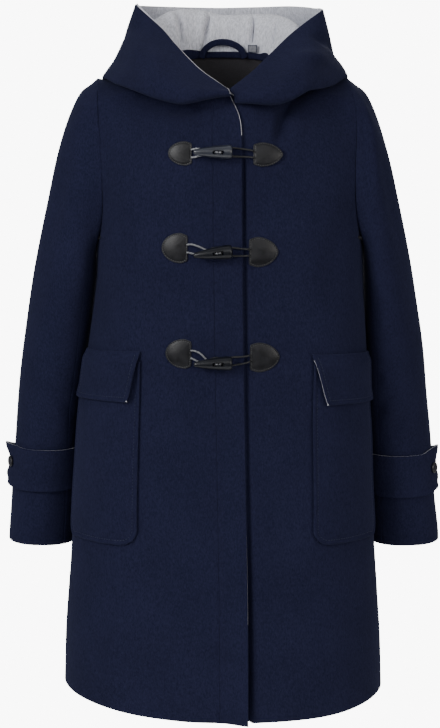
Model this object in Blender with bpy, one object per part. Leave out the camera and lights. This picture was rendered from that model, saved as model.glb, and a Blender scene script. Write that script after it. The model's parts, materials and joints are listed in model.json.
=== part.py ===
"""Women's wool duffle coat, worn and filled out with nobody in it.

Millimetres in the tables, metres in the scene.  +Z is up, the front faces -Y and the wearer's
right side is at -X.  The origin lies just in front of the back neck seam, at its height.
"""
import math

import bmesh
import bpy
from mathutils import Vector

# ---------------------------------------------------------------- driving sizes (mm)
WALL = 2.8              # wool cloth
LINING = 1.4            # melange lining of the hood
SEAM_GAP = 0.3          # between pieces sewn edge to edge
LAP = 1.7               # how far each front stands off the middle where they lap
HEM_Z = -864.0          # hem at the centres
HEM_RISE = 18.0         # how much higher the hem is at the side seams
ARMPIT_Z = -246.0
BAND_WIDTH = 36.5       # button stand, seam to free edge
ON_PANEL = 0.8          # trim laid on a curved panel
POCKET_WALL = 2.6
POCKET_BOTTOM = -640.0
POCKET_REACH = 79.0      # degrees round the body, short of the side seam
POCKET_CORNER = 22.0
FLAP_WALL = 2.6
PATCH_WALL = 1.8
STRAP_WALL = 2.4
STRAP_TOP = -521.0
STRAP_BOTTOM = -579.0
BUTTON_R = 8.5
BUTTON_T = 3.4
TOGGLE_TILT = (0.0, 6.0, 2.0)       # degrees, blunt end up
TOGGLE_HEIGHT = 14.4                # axis above the cloth
TOGGLE_HOLES = (1.0, 11.0)          # along the toggle from its middle
HOLE_R = 2.1
CORD_R = 1.25

# Level of the body: half width, depth forward, depth back, roundness of the section.
BODY = (
    # z, half_width, front, back, power
    (-880.0, 217.5, 146.0, 138.0, 2.25),
    (-842.0, 218.5, 145.5, 137.5, 2.26),
    (-800.0, 217.0, 144.0, 136.0, 2.27),
    (-720.0, 211.5, 140.5, 132.0, 2.30),
    (-656.0, 206.5, 138.0, 129.5, 2.32),
    (-565.0, 200.5, 135.0, 126.5, 2.35),
    (-500.0, 196.5, 132.5, 123.0, 2.38),
    (-460.0, 193.0, 131.0, 121.0, 2.40),
    (-390.0, 186.0, 129.0, 118.0, 2.42),
    (-350.0, 181.5, 128.5, 116.5, 2.45),
    (-300.0, 177.5, 128.0, 115.5, 2.50),
    (-240.0, 175.0, 127.0, 114.0, 2.50),
    (-150.0, 175.0, 119.0, 112.0, 2.50),
    (-100.0, 174.0, 111.5, 106.0, 2.50),
    (-62.0, 172.5, 104.0, 96.0, 2.50),
    (-40.0, 172.0, 100.0, 88.0, 2.50),
)

# Armhole seam of the left side, from the armpit up the front, over the shoulder, down the back.
# Depth is read off the body wherever it is None.
ARMHOLE = (
    # x, y, z
    (175.0, 0.0, -246.0),
    (172.0, None, -238.0),
    (164.5, None, -215.0),
    (160.0, None, -180.0),
    (159.0, None, -140.0),
    (160.5, None, -100.0),
    (162.0, -47.0, -62.0),
    (163.0, -22.0, -41.0),
    (163.5, 8.0, -33.0),
    (163.0, 36.0, -42.0),
    (161.5, 55.0, -66.0),
    (160.5, None, -105.0),
    (160.0, None, -145.0),
    (161.5, None, -185.0),
    (166.0, None, -218.0),
    (172.5, None, -240.0),
)
FRONT_ROWS = 8          # armpit to the shoulder seam, along the armhole
CAP_ROWS = 5            # over the shoulder
BACK_ROWS = 8           # shoulder blade down to the armpit
HEM_ROWS = 8            # hem to armpit

# Neck seam and the hood that rises from it, from the back centre (u 0) to the front (u 1).
HOOD = (
    # u,   neck,                 roll,                lower fold,            bulge,                 rim
    (0.00, (0, 66, 2),           (0, 84, 44),         (0, 152, -96),         (0, 184, -22),         (0, 160, 57)),
    (0.15, (34, 61, 1),          (42, 80, 46),        (54, 148, -92),        (60, 178, -20),        (52, 155, 58)),
    (0.30, (63, 43, -3),         (80, 62, 44),        (104, 128, -78),       (116, 150, -14),       (100, 126, 59)),
    (0.45, (81, 10, -11),        (100, 24, 30),       (142, 88, -56),        (150, 92, -4),         (126, 76, 58)),
    (0.60, (84, -26, -22),       (104, -20, 4),       (157, 6, -20),         (148, 2, 12),          (131, 18, 56)),
    (0.75, (69, -70, -39),       (84, -75, -24),      (110, -98, -46),       (104, -88, -14),       (88, -30, 24)),
    (0.90, (33, -100, -48),      (42, -106, -37),     (62, -119, -60),       (56, -124, -42),       (40, -80, -14)),
    (1.00, (1, -104, -50),       (1, -107.5, -40.5),  (1, -120, -53),        (1, -123, -46.5),      (1, -113, -39)),
)
HOOD_MEET = 6.0         # where the hood's front ends meet, off the middle
SEAM_U = 0.68           # where the shoulder seam meets the neck
BACK_U = 0.30           # where the back neck turns forward
HOOD_STEPS = (2, 3, 2, 2)
HOOD_US = (0.0, 0.09, 0.18, 0.27, 0.36, 0.44, 0.52, 0.60, 0.68, 0.75, 0.81, 0.86, 0.90, 0.93, 0.96, 0.98, 1.0)

# Sleeve: outermost line, innermost line, half depth, from shoulder to cuff.
SLEEVE = (
    # k, outer x, y, z,          inner x, y, z,          half_depth
    (0, 163.5, 8.0, -33.0, 175.0, 0.0, -246.0, 68.0),
    (1, 173.0, 9.0, -41.0, 178.0, 1.0, -255.0, 69.0),
    (2, 186.0, 10.0, -51.0, 181.0, 2.0, -266.0, 70.0),
    (3, 197.0, 11.0, -70.0, 183.0, 3.0, -281.0, 71.0),
    (4, 208.5, 13.0, -99.0, 185.0, 5.0, -300.0, 71.0),
    (5, 219.5, 15.0, -137.0, 187.0, 7.0, -325.0, 70.5),
    (6, 230.0, 18.0, -182.0, 188.0, 10.0, -355.0, 69.0),
    (7, 241.0, 21.0, -230.0, 189.0, 14.0, -388.0, 67.0),
    (8, 252.0, 25.0, -282.0, 190.0, 19.0, -422.0, 65.0),
    (9, 262.0, 29.0, -338.0, 191.5, 26.0, -458.0, 62.5),
    (10, 271.0, 33.0, -395.0, 193.0, 33.0, -498.0, 60.0),
    (11, 278.0, 37.0, -453.0, 195.0, 41.0, -540.0, 57.5),
    (12, 284.0, 41.0, -513.0, 197.0, 48.0, -580.0, 55.0),
    (13, 289.0, 44.0, -572.0, 199.0, 53.0, -614.0, 52.5),
    (14, 292.0, 46.0, -620.0, 201.0, 56.0, -642.0, 50.5),
    (15, 294.5, 47.0, -659.0, 203.0, 57.0, -663.0, 49.5),
)
UNDER_SLEEVE = 4        # ring points of the under sleeve on each side of the armpit

# Fastenings, top to bottom: height, middle of the left and right patches.
FASTENINGS = (
    # z_toggle, patch_r_x, patch_r_z, patch_l_x, patch_l_z
    (-119.5, -54.0, -122.5, 56.0, -124.0),
    (-245.5, -61.0, -241.0, 50.5, -246.0),
    (-386.0, -56.5, -376.0, 52.5, -381.0),
)
PATCH_W = (30.0, 33.0, 33.0)
PATCH_H = (30.0, 38.0, 38.0)
TOGGLE_X = -12.0
TOGGLE_PROFILE = (
    # along, radius
    (-25.0, 1.4),
    (-23.2, 2.9),
    (-16.0, 4.7),
    (-6.0, 6.6),
    (5.0, 8.0),
    (14.0, 8.8),
    (20.0, 8.9),
    (22.6, 8.1),
    (23.4, 6.0),
)

COLOURS = {
    "wool_navy": ((0.011, 0.014, 0.034), 0.95),
    "lining_grey": ((0.42, 0.43, 0.47), 0.9),
    "facing_black": ((0.008, 0.008, 0.010), 0.85),
    "leather_grey": ((0.045, 0.048, 0.06), 0.5),
    "horn_grey": ((0.03, 0.033, 0.045), 0.3),
    "cord_grey": ((0.05, 0.052, 0.06), 0.5),
    "button_dark": ((0.012, 0.012, 0.016), 0.35),
    "label_white": ((0.6, 0.6, 0.6), 0.7),
}


# ---------------------------------------------------------------- scene helpers
def clear_scene():
    for obj in list(bpy.data.objects):
        bpy.data.objects.remove(obj)


def material(name):
    found = bpy.data.materials.get(name)
    if found:
        return found
    colour, rough = COLOURS[name]
    made = bpy.data.materials.new(name)
    made.use_nodes = True
    shader = made.node_tree.nodes["Principled BSDF"]
    shader.inputs["Base Color"].default_value = (*colour, 1.0)
    shader.inputs["Roughness"].default_value = rough
    return made


def add_object(name, slot, verts, faces, smooth=True):
    mesh = bpy.data.meshes.new(name)
    mesh.from_pydata([tuple(c / 1000.0 for c in v) for v in verts], [], faces)
    work = bmesh.new()
    work.from_mesh(mesh)
    bmesh.ops.recalc_face_normals(work, faces=work.faces)
    work.to_mesh(mesh)
    work.free()
    for poly in mesh.polygons:
        poly.use_smooth = smooth
    obj = bpy.data.objects.new(name, mesh)
    obj.data.materials.append(material(slot))
    bpy.context.scene.collection.objects.link(obj)
    return obj


# ---------------------------------------------------------------- small maths
def lerp(a, b, f):
    return a + (b - a) * f


def smoothstep(f):
    f = min(1.0, max(0.0, f))
    return f * f * (3.0 - 2.0 * f)


def hermite(table, key):
    """Smooth reading of a table whose first column rises, at the key."""
    last = len(table) - 1
    key = min(max(key, table[0][0]), table[last][0])
    i = 0
    while i < last - 1 and key > table[i + 1][0]:
        i += 1
    rows = [table[max(i - 1, 0)], table[i], table[i + 1], table[min(i + 2, last)]]
    span = rows[2][0] - rows[1][0]
    f = (key - rows[1][0]) / span
    out = []
    for c in range(1, len(rows[1])):
        slope1 = (rows[2][c] - rows[0][c]) / max(rows[2][0] - rows[0][0], 1e-6) * span
        slope2 = (rows[3][c] - rows[1][c]) / max(rows[3][0] - rows[1][0], 1e-6) * span
        h00 = (1 + 2 * f) * (1 - f) ** 2
        h10 = f * (1 - f) ** 2
        h01 = f * f * (3 - 2 * f)
        h11 = f * f * (f - 1)
        out.append(h00 * rows[1][c] + h10 * slope1 + h01 * rows[2][c] + h11 * slope2)
    return out


def spline(points, t, closed=False):
    """Catmull-Rom through points, one unit of t per span."""
    count = len(points)
    i = int(math.floor(t))
    if not closed:
        i = min(max(i, 0), count - 2)
    f = t - i
    if closed:
        picks = [points[(i + d) % count] for d in (-1, 0, 1, 2)]
    else:
        picks = [points[min(max(i + d, 0), count - 1)] for d in (-1, 0, 1, 2)]
        if i == 0:
            picks[0] = picks[1] * 2 - picks[2]
        if i == count - 2:
            picks[3] = picks[2] * 2 - picks[1]
    p0, p1, p2, p3 = picks
    return 0.5 * (2 * p1 + (p2 - p0) * f + (2 * p0 - 5 * p1 + 4 * p2 - p3) * f * f
                  + (3 * p1 - p0 - 3 * p2 + p3) * f ** 3)


# ---------------------------------------------------------------- the body's form
def body_point(theta, z):
    """theta 0 is the front centre, 90 degrees the left side seam, 180 the back centre."""
    half, front, back, power = hermite(BODY, z)
    s = math.sin(theta)
    c = math.cos(theta)
    x = half * math.copysign(abs(s) ** (2 / power), s)
    depth = front if c > 0 else back
    y = -depth * math.copysign(abs(c) ** (2 / power), c)
    return Vector((x, y, z))


def theta_of(x, z, at_back=False):
    half, front, back, power = hermite(BODY, z)
    theta = math.asin(min(1.0, abs(x) / half) ** (power / 2))
    if at_back:
        theta = math.pi - theta
    return math.copysign(theta, x)


def hem_z(theta):
    return HEM_Z + HEM_RISE * math.sin(theta) ** 2


def seam_x(z):
    """Seam of the button stand, on the wearer's right front."""
    return -12.9 + 8.8 * smoothstep((-118.0 - z) / 740.0)


def free_edge_x(z):
    """Free edge of the button stand, rounded off at the neck."""
    edge = seam_x(z) + BAND_WIDTH
    corner = smoothstep((z + 98.0) / 50.0)
    return lerp(edge, 7.0, corner)


def lap_shift(x, side):
    """The right front rides over the left one around the front centre."""
    if side < 0:
        return Vector((0, -LAP * smoothstep((x + 75.0) / 50.0), 0))
    return Vector((0, LAP * (1.0 - smoothstep((x - 36.0) / 36.0)), 0))


def front_outer(theta, z, side, off=0.0):
    """Point on a front's outer face, and off it along its normal."""
    step = 0.01
    here = body_point(theta, z)
    here += lap_shift(here.x, side)
    if not off:
        return here
    a = body_point(theta + step, z)
    b = body_point(theta - step, z)
    up = body_point(theta, z + 3.0)
    down = body_point(theta, z - 3.0)
    normal = (a - b).cross(up - down)
    normal.normalize()
    return here + normal * off


def armhole_loop():
    points = []
    for i, (x, y, z) in enumerate(ARMHOLE):
        if y is None:
            y = body_point(theta_of(x, z, at_back=i > 8), z).y
        points.append(Vector((x, y, z)))
    loop = []
    for i in range(FRONT_ROWS):
        loop.append(spline(points, 6.0 * i / FRONT_ROWS, closed=True))
    for i in range(CAP_ROWS):
        loop.append(spline(points, 6.0 + 4.0 * i / CAP_ROWS, closed=True))
    for i in range(BACK_ROWS):
        loop.append(spline(points, 10.0 + 6.0 * i / BACK_ROWS, closed=True))
    return loop


RING = armhole_loop()
ARM_CENTRE = Vector((0.0, 4.0, -140.0))


def rim_in(point, lean):
    """Through the wall at the armhole edge; lean turns it sideways at the armpit."""
    inward = Vector((0.0, ARM_CENTRE.y - point.y, ARM_CENTRE.z - point.z))
    inward.normalize()
    inward.x = lean * 0.95 * smoothstep((-200.0 - point.z) / 40.0)
    inward.normalize()
    return inward


def hood_row(u, column):
    u = abs(u)
    table = [(row[0], *row[column]) for row in HOOD]
    return Vector(hermite(table, u))


def neck_point(u):
    p = hood_row(u, 1)
    return Vector((math.copysign(p.x, u), p.y, p.z))


def mirrored(v, side):
    return Vector((v.x * side, v.y, v.z))


# ---------------------------------------------------------------- shells
def grid_normals(grid, wrap=False):
    rows = len(grid)
    cols = len(grid[0])
    normals = []
    for i in range(rows):
        line = []
        for j in range(cols):
            if grid[i][j] is None:
                line.append(None)
                continue
            above = grid[min(i + 1, rows - 1)][j] or grid[i][j]
            below = grid[max(i - 1, 0)][j] or grid[i][j]
            if wrap:
                left = grid[i][(j - 1) % cols]
                right = grid[i][(j + 1) % cols]
            else:
                left = grid[i][max(j - 1, 0)] or grid[i][j]
                right = grid[i][min(j + 1, cols - 1)] or grid[i][j]
            normal = (right - left).cross(above - below)
            normal.normalize()
            line.append(normal)
        normals.append(line)
    return normals


def moved(grid, normals, amount):
    return [[None if p is None else p + n * amount for p, n in zip(line, norm)]
            for line, norm in zip(grid, normals)]


def rim_faces(outer, index, a, b):
    """The wall's edge between two grid corners, split the same way on both sides of a seam."""
    pa = outer[a[0]][a[1]]
    pb = outer[b[0]][b[1]]
    if pa.z + 0.37 * abs(pa.x) + 0.21 * pa.y < pb.z + 0.37 * abs(pb.x) + 0.21 * pb.y:
        return [[index[0][b], index[0][a], index[1][b]], [index[0][a], index[1][a], index[1][b]]]
    return [[index[0][b], index[0][a], index[1][a]], [index[0][b], index[1][a], index[1][b]]]


def shell(name, slot, outer, inner, wrap=False):
    """Closed solid between two point grids; cells with a missing corner are left open."""
    verts = []
    index = ({}, {})
    for layer, grid in enumerate((outer, inner)):
        for i, line in enumerate(grid):
            for j, point in enumerate(line):
                if point is not None:
                    index[layer][i, j] = len(verts)
                    verts.append(point)
    faces = []
    edges = {}
    rows = len(outer)
    cols = len(outer[0])
    for i in range(rows - 1):
        for j in range(cols if wrap else cols - 1):
            k = (j + 1) % cols
            ring = [(i, j), (i, k), (i + 1, k), (i + 1, j)]
            if any(corner not in index[0] for corner in ring):
                continue
            for a, b, c in ((0, 1, 2), (0, 2, 3)):
                faces.append([index[0][ring[a]], index[0][ring[b]], index[0][ring[c]]])
                faces.append([index[1][ring[c]], index[1][ring[b]], index[1][ring[a]]])
            for a, b in zip(ring, ring[1:] + ring[:1]):
                if (b, a) in edges:
                    del edges[b, a]
                else:
                    edges[a, b] = True
    for a, b in edges:
        faces += rim_faces(outer, index, a, b)
    used = sorted({v for face in faces for v in face})
    remap = {v: n for n, v in enumerate(used)}
    faces = [[remap[v] for v in face] for face in faces]
    return add_object(name, slot, [verts[v] for v in used], faces)


def relax(grid, rows, passes, pinned):
    for _ in range(passes):
        fresh = [list(line) for line in grid]
        for i in rows:
            for j in range(1, len(grid[i]) - 1):
                if (i, j) in pinned or grid[i][j] is None:
                    continue
                near = [grid[i - 1][j], grid[i][j - 1], grid[i][j + 1]]
                near.append(grid[i + 1][j] if i + 1 < len(grid) else None)
                if any(p is None for p in near):
                    continue
                fresh[i][j] = lerp(grid[i][j], sum(near, Vector()) / 4, 0.6)
        for i, line in enumerate(fresh):
            grid[i] = line


# ---------------------------------------------------------------- fronts
FRONT_COLS = 10
FRONT_NECK = 5


def shoulder_inward():
    inward = Vector((0.0, 0.55, -0.83))
    inward.normalize()
    return inward


def front_rows():
    """Levels at the front edge, hem to neck."""
    levels = [lerp(HEM_Z, ARMPIT_Z, i / HEM_ROWS) for i in range(HEM_ROWS + 1)]
    top = -50.5
    levels += [lerp(ARMPIT_Z, top, (i + 1) / FRONT_ROWS) for i in range(FRONT_ROWS)]
    return levels


def front_edge_x(z, side):
    """Centre edge in mirrored x: the right front ends at the stand's seam, the left laps under it."""
    if side < 0:
        return -(seam_x(z) - SEAM_GAP / 2)
    return seam_x(z) - 3.0


def front_grid(side):
    grid = []
    levels = front_rows()
    for r, level in enumerate(levels):
        line = []
        arm = RING[0] if r <= HEM_ROWS else RING[r - HEM_ROWS]
        edge = front_edge_x(level, side)
        start = theta_of(edge, level)
        end = math.pi / 2 if r <= HEM_ROWS else theta_of(arm.x, arm.z)
        for c in range(FRONT_COLS + 1):
            s = c / FRONT_COLS
            theta = lerp(start, end, s)
            if r <= HEM_ROWS:
                drop = 1.0 - r / HEM_ROWS
                z = level + (hem_z(theta) - HEM_Z) * drop
            else:
                z = lerp(level, arm.z, s ** 2.2)
            point = body_point(theta, z)
            if c == FRONT_COLS and r > HEM_ROWS:
                point = arm.copy()
            if r == len(levels) - 1:
                point = front_top(s, arm, edge)
            line.append(point)
        grid.append(line)
    kept = {(r, c) for r in range(len(levels)) for c in (1, 2)}
    relax(grid, range(HEM_ROWS + 4, len(levels) - 1), 6, kept)
    for line in grid:
        for c, point in enumerate(line):
            real_x = point.x * side
            line[c] = Vector((real_x, point.y, point.z)) + lap_shift(real_x, side)
    return grid


def front_top(s, arm, edge):
    """Upper edge: the neck seam from the front, then the shoulder seam out to the armhole."""
    neck_s = FRONT_NECK / FRONT_COLS
    if s <= neck_s:
        u = lerp(1.0, SEAM_U, s / neck_s)
        point = neck_point(u)
        if s == 0.0:
            point.x = edge
        return point
    return neck_point(SEAM_U).lerp(arm, (s - neck_s) / (1.0 - neck_s))


def inner_front(grid, side):
    normals = grid_normals(grid)
    inner = moved(grid, normals, -WALL * side)
    top = len(grid) - 1
    for r, line in enumerate(grid):
        last = line[FRONT_COLS]
        if r < HEM_ROWS:
            inner[r][FRONT_COLS] = last - Vector((WALL * side, 0, 0))
        else:
            inner[r][FRONT_COLS] = last + rim_in(last, -side) * WALL
    for c, point in enumerate(grid[top]):
        if c < FRONT_NECK:
            towards = Vector((-point.x * 0.3, 10.0 - point.y, 0.0))
            towards.normalize()
            inner[top][c] = point + towards * WALL
        elif c < FRONT_COLS:
            inner[top][c] = point + shoulder_inward() * WALL
    for r, line in enumerate(grid):
        inner[r][0] = line[0] + Vector((0, WALL, 0))
    return inner


def make_front(name, side):
    grid = front_grid(side)
    inner = inner_front(grid, side)
    top = len(grid) - 1
    nudge = Vector((0.0, -0.83, -0.55)) * (SEAM_GAP / 2)
    for layer in (grid, inner):
        for r in range(HEM_ROWS + 1):
            layer[r][FRONT_COLS].y -= SEAM_GAP / 2
        for c in range(FRONT_NECK, FRONT_COLS + 1):
            layer[top][c] = layer[top][c] + nudge
    shell(name, "wool_navy", grid, inner)


def make_band():
    """Button stand: a separate strip down the wearer's right front."""
    grid = []
    columns = 3
    for z in front_rows():
        a = seam_x(z) + SEAM_GAP / 2
        b = free_edge_x(z)
        line = []
        for c in range(columns + 1):
            x = lerp(a, b, c / columns)
            point = body_point(theta_of(x, z), z)
            line.append(point + lap_shift(x, -1))
        grid.append(line)
    for c, point in enumerate(grid[-1]):
        grid[-1][c] = Vector((point.x, neck_point(1.0).y - LAP, -50.5))
    inner = [[p + Vector((0, WALL, 0)) for p in line] for line in grid]
    shell("button_stand", "wool_navy", grid, inner)


# ---------------------------------------------------------------- back
BACK_HALF = 9
BACK_NECK = 4


def back_half(s_index, r):
    """Point of the back's left half; column 0 is the centre, BACK_HALF the side."""
    s = s_index / BACK_HALF
    body_rows = HEM_ROWS + BACK_ROWS
    if r <= HEM_ROWS:
        theta = lerp(math.pi, math.pi / 2, s)
        z = lerp(hem_z(theta), ARMPIT_Z, r / HEM_ROWS)
        return body_point(theta, z)
    if r <= body_rows:
        up = r - HEM_ROWS
        arm = RING[(len(RING) - up) % len(RING)]
        if r == body_rows and s_index <= BACK_NECK:
            return neck_point(lerp(0.0, BACK_U, s_index / BACK_NECK))
        if r == body_rows:
            return neck_point(BACK_U).lerp(arm, (s_index - BACK_NECK) / (BACK_HALF - BACK_NECK))
        level = lerp(ARMPIT_Z, 2.0, up / BACK_ROWS)
        z = lerp(level, arm.z, s ** 2.2)
        end = theta_of(arm.x, max(arm.z, -240.0), at_back=True)
        point = body_point(lerp(math.pi, end, s), min(z, -40.0))
        point.z = z
        return arm.copy() if s_index == BACK_HALF else point
    if s_index < BACK_NECK:
        return None
    over = r - body_rows
    arm = RING[FRONT_ROWS + CAP_ROWS - over]
    neck = neck_point(lerp(BACK_U, SEAM_U, over / CAP_ROWS))
    f = (s_index - BACK_NECK) / (BACK_HALF - BACK_NECK)
    return neck.lerp(arm, f)


def back_grid():
    rows = HEM_ROWS + BACK_ROWS + CAP_ROWS + 1
    half = [[back_half(c, r) for c in range(BACK_HALF + 1)] for r in range(rows)]
    body_rows = HEM_ROWS + BACK_ROWS
    full = []
    for line in half:
        left = [None if p is None else Vector((-p.x, p.y, p.z)) for p in reversed(line[1:])]
        full.append(left + line)
    centre = BACK_HALF
    pinned = {(body_rows, centre + c) for c in range(-BACK_NECK, BACK_NECK + 1)}
    relax(full, range(HEM_ROWS + 3, rows - 1), 8, pinned)
    return full


def make_back():
    """The back in two halves, sewn down the centre."""
    grid = back_grid()
    normals = grid_normals(grid)
    inner = moved(grid, normals, WALL)
    last = len(grid) - 1
    body_rows = HEM_ROWS + BACK_ROWS
    width = 2 * BACK_HALF
    for r, line in enumerate(grid):
        for c, side in ((0, -1), (width, 1)):
            edge = line[c]
            if r < HEM_ROWS:
                inner[r][c] = edge - Vector((WALL * side, 0, 0))
            else:
                inner[r][c] = edge + rim_in(edge, -side) * WALL
    for c in range(width + 1):
        away = abs(c - BACK_HALF)
        if away < BACK_NECK:
            point = grid[body_rows][c]
            towards = Vector((-point.x, -point.y, 0.0))
            towards.normalize()
            inner[body_rows][c] = point + towards * WALL
        elif away == BACK_NECK:
            for r in range(body_rows, last + 1):
                point = grid[r][c]
                towards = Vector((-point.x, -point.y * 0.6, 0.0))
                towards.normalize()
                inner[r][c] = point + towards * WALL
            inner[last][c] = grid[last][c] + shoulder_inward() * WALL
        elif away < BACK_HALF:
            inner[last][c] = grid[last][c] + shoulder_inward() * WALL
    nudge = Vector((0.0, 0.83, 0.55)) * (SEAM_GAP / 2)
    for layer in (grid, inner):
        for r in range(HEM_ROWS + 1):
            layer[r][0].y += SEAM_GAP / 2
            layer[r][width].y += SEAM_GAP / 2
        for c in range(width + 1):
            if layer[last][c] is not None:
                layer[last][c] = layer[last][c] + nudge
    for label, first, last, gap in (("right", 0, BACK_HALF, -SEAM_GAP / 2), ("left", BACK_HALF, width, SEAM_GAP / 2)):
        halves = []
        for layer in (grid, inner):
            half = [[None if p is None else p.copy() for p in line[first:last + 1]] for line in layer]
            for line in half:
                middle = line[-1] if first == 0 else line[0]
                if middle is not None:
                    middle.x = gap
            halves.append(half)
        shell("back_%s" % label, "wool_navy", halves[0], halves[1])
    return grid, inner


def make_back_facing(inner):
    """Black facing inside the back neck, below the neck band."""
    body_rows = HEM_ROWS + BACK_ROWS
    picked = []
    for r, part in ((body_rows - 3, 0.0), (body_rows - 2, 0.0), (body_rows - 1, 0.0), (body_rows - 1, 0.45)):
        line = []
        for c in range(BACK_HALF - BACK_NECK + 1, BACK_HALF + BACK_NECK):
            line.append(inner[r][c].lerp(inner[r + 1][c], part))
        picked.append(line)
    normals = grid_normals(picked)
    near = moved(picked, normals, 0.9)
    far = moved(picked, normals, 0.9 + 1.2)
    shell("back_neck_facing", "facing_black", near, far)


# ---------------------------------------------------------------- hood
def hood_curve(u):
    """Controls of the hood's sheet at u, seam to rim."""
    side = -1 if u < 0 else 1
    a = abs(u)
    neck = hood_row(a, 1)
    inward = Vector((-neck.x, 10.0 - neck.y, 0.0))
    inward.normalize()
    start = neck + inward * (WALL / 2) + Vector((0, 0, 2.0))
    controls = [start] + [hood_row(a, c) for c in (2, 3, 4, 5)]
    narrow = smoothstep((a - 0.25) / 0.3) * (1.0 - smoothstep((a - 0.7) / 0.25))
    if side < 0:
        for n, take in ((3, 0.055), (4, 0.115)):
            controls[n].x *= 1.0 - take * narrow
        controls[4].z += 3.0 * narrow
    else:
        controls[4].z -= 3.0 * narrow
    return [mirrored(p, side) for p in controls]


def hood_reference(us):
    grid = []
    for u in us:
        controls = hood_curve(u)
        line = []
        for span, steps in enumerate(HOOD_STEPS):
            for i in range(steps):
                line.append(spline(controls, span + i / steps))
        line.append(controls[-1].copy())
        grid.append(line)
    return grid


def make_hood():
    us = [-u for u in reversed(HOOD_US[1:])] + list(HOOD_US)
    count = len(us) - 1
    centre = count // 2
    grid = hood_reference(us)
    for line, u in zip(grid, us):
        shift = HOOD_MEET * smoothstep((abs(u) - 0.7) / 0.3)
        for point in line:
            point.x += shift + 0.5 * u
    normals = grid_normals(grid)
    outer_a = moved(grid, normals, HOOD_SIGN * 0.15)
    outer_b = moved(grid, normals, HOOD_SIGN * (0.15 + WALL - 0.2))
    lining_a = moved(grid, normals, -HOOD_SIGN * 0.15)
    lining_b = moved(grid, normals, -HOOD_SIGN * (0.15 + LINING))
    for name, first, last, gap in (("hood_right", 0, centre, -SEAM_GAP / 2),
                                   ("hood_left", centre, count, SEAM_GAP / 2)):
        layers = []
        for layer in (outer_a, outer_b):
            copy = [[p.copy() for p in line] for line in layer[first:last + 1]]
            middle = copy[-1] if first == 0 else copy[0]
            for p in middle:
                p.x = gap
            layers.append(copy)
        shell(name, "wool_navy", layers[0], layers[1])
    shell("hood_lining", "lining_grey", lining_a, lining_b)
    return grid


HOOD_SIGN = 1.0


def neck_frame(u, inset, z):
    """Point inside the neck at u, inset from the coat's outer face."""
    p = neck_point(u)
    ahead = neck_point(u + 0.01) - neck_point(u - 0.01)
    inward = Vector((-ahead.y, ahead.x, 0.0))
    inward.normalize()
    if inward.dot(Vector((-p.x, -p.y, 0))) < 0:
        inward.negate()
    return Vector((p.x, p.y, p.z + z)) + inward * inset


def neck_y(x, inset):
    """Depth inside the neck at x, inset from the coat's outer face."""
    low = -0.45
    high = 0.45
    for _ in range(30):
        middle = (low + high) / 2
        if neck_frame(middle, inset, 0.0).x < x:
            low = middle
        else:
            high = middle
    return neck_frame(low, inset, 0.0).y


def make_neck_band():
    steps = 14
    outer = []
    inner = []
    for i in range(steps + 1):
        u = lerp(-0.5, 0.5, i / steps)
        outer.append([neck_frame(u, WALL + 1.5, z) for z in (-10.0, -3.0, 3.5)])
        inner.append([neck_frame(u, WALL + 3.0, z) for z in (-10.0, -3.0, 3.5)])
    shell("neck_band", "wool_navy", outer, inner)


def make_hanger_loop():
    """Flat loop of cloth over the neck band, an arch seen from the front."""
    outline = []
    for x, low, high in ((-32.0, -9.0, 8.0), (-31.0, -9.0, 14.0), (-26.0, -9.0, 17.0), (-21.0, -9.0, 18.0),
                         (-20.5, 7.0, 18.0), (-10.0, 8.2, 18.4), (0.0, 8.5, 18.5), (10.0, 8.2, 18.4),
                         (19.0, 7.0, 18.0), (19.5, -9.0, 18.0), (24.5, -9.0, 17.0), (29.5, -9.0, 14.0),
                         (30.5, -9.0, 8.0)):
        outline.append((x, low, high))
    near = []
    far = []
    for x, low, high in outline:
        y = neck_y(x, WALL + 3.0 + 0.9)
        near.append([Vector((x, y, low)), Vector((x, y, lerp(low, high, 0.5))), Vector((x, y, high))])
        far.append([p - Vector((0, 2.2, 0)) for p in near[-1]])
    shell("hanger_loop", "wool_navy", near, far)


def make_size_tag():
    near = []
    far = []
    for x in (35.5, 42.0, 48.5):
        y = neck_y(x, WALL + 3.0 + 0.9)
        near.append([Vector((x, y, -1.0)), Vector((x, y, 9.0))])
        far.append([p - Vector((0, 0.8, 0)) for p in near[-1]])
    shell("size_tag", "label_white", near, far)


# ---------------------------------------------------------------- sleeves
def sleeve_ring(k):
    """Outer points of the left sleeve's ring at k."""
    ox, oy, oz, ix, iy, iz, depth = hermite(SLEEVE, k)
    outer = Vector((ox, oy, oz))
    inner = Vector((ix, iy, iz))
    zero = hermite(SLEEVE, 0)
    blend = smoothstep(k / 4.5)
    count = len(RING)
    ring = []
    clear = 5.5 * smoothstep(k / 2.5) + 0.3
    for j in range(count):
        start = RING[j]
        phi = 2 * math.pi * j / count
        up0 = (start.z - zero[5]) / (zero[2] - zero[5])
        y0 = start.y - lerp(zero[4], zero[1], up0)
        x0 = start.x - lerp(zero[3], zero[0], up0)
        c = math.cos(phi)
        s = math.sin(phi)
        up1 = 0.5 - 0.5 * math.copysign(abs(c) ** 0.92, c)
        y1 = -depth * math.copysign(abs(s) ** 0.92, s)
        up = lerp(up0, up1, blend)
        side_y = lerp(y0 * depth / 68.0, y1, blend)
        axis = inner.lerp(outer, up)
        point = axis + Vector((x0 * (1.0 - smoothstep(k / 3.0)), side_y, 0.0))
        if k > 0 and point.z < -215.0:
            half, front, back, power = hermite(BODY, point.z)
            half += clear
            front += clear
            back += clear
            b = front if point.y < 0 else back
            reach = (abs(point.x) / half) ** power + (abs(point.y) / b) ** power
            scale = reach ** (-1.0 / power)
            if scale > 1.0:
                point.x *= scale
                point.y *= scale
        ring.append(point)
    return ring


SLEEVE_KS = (0, 1, 2, 3, 4, 5, 6, 7.2, 8.5, 10, 11.5, 13, 14.2, 15)


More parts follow.
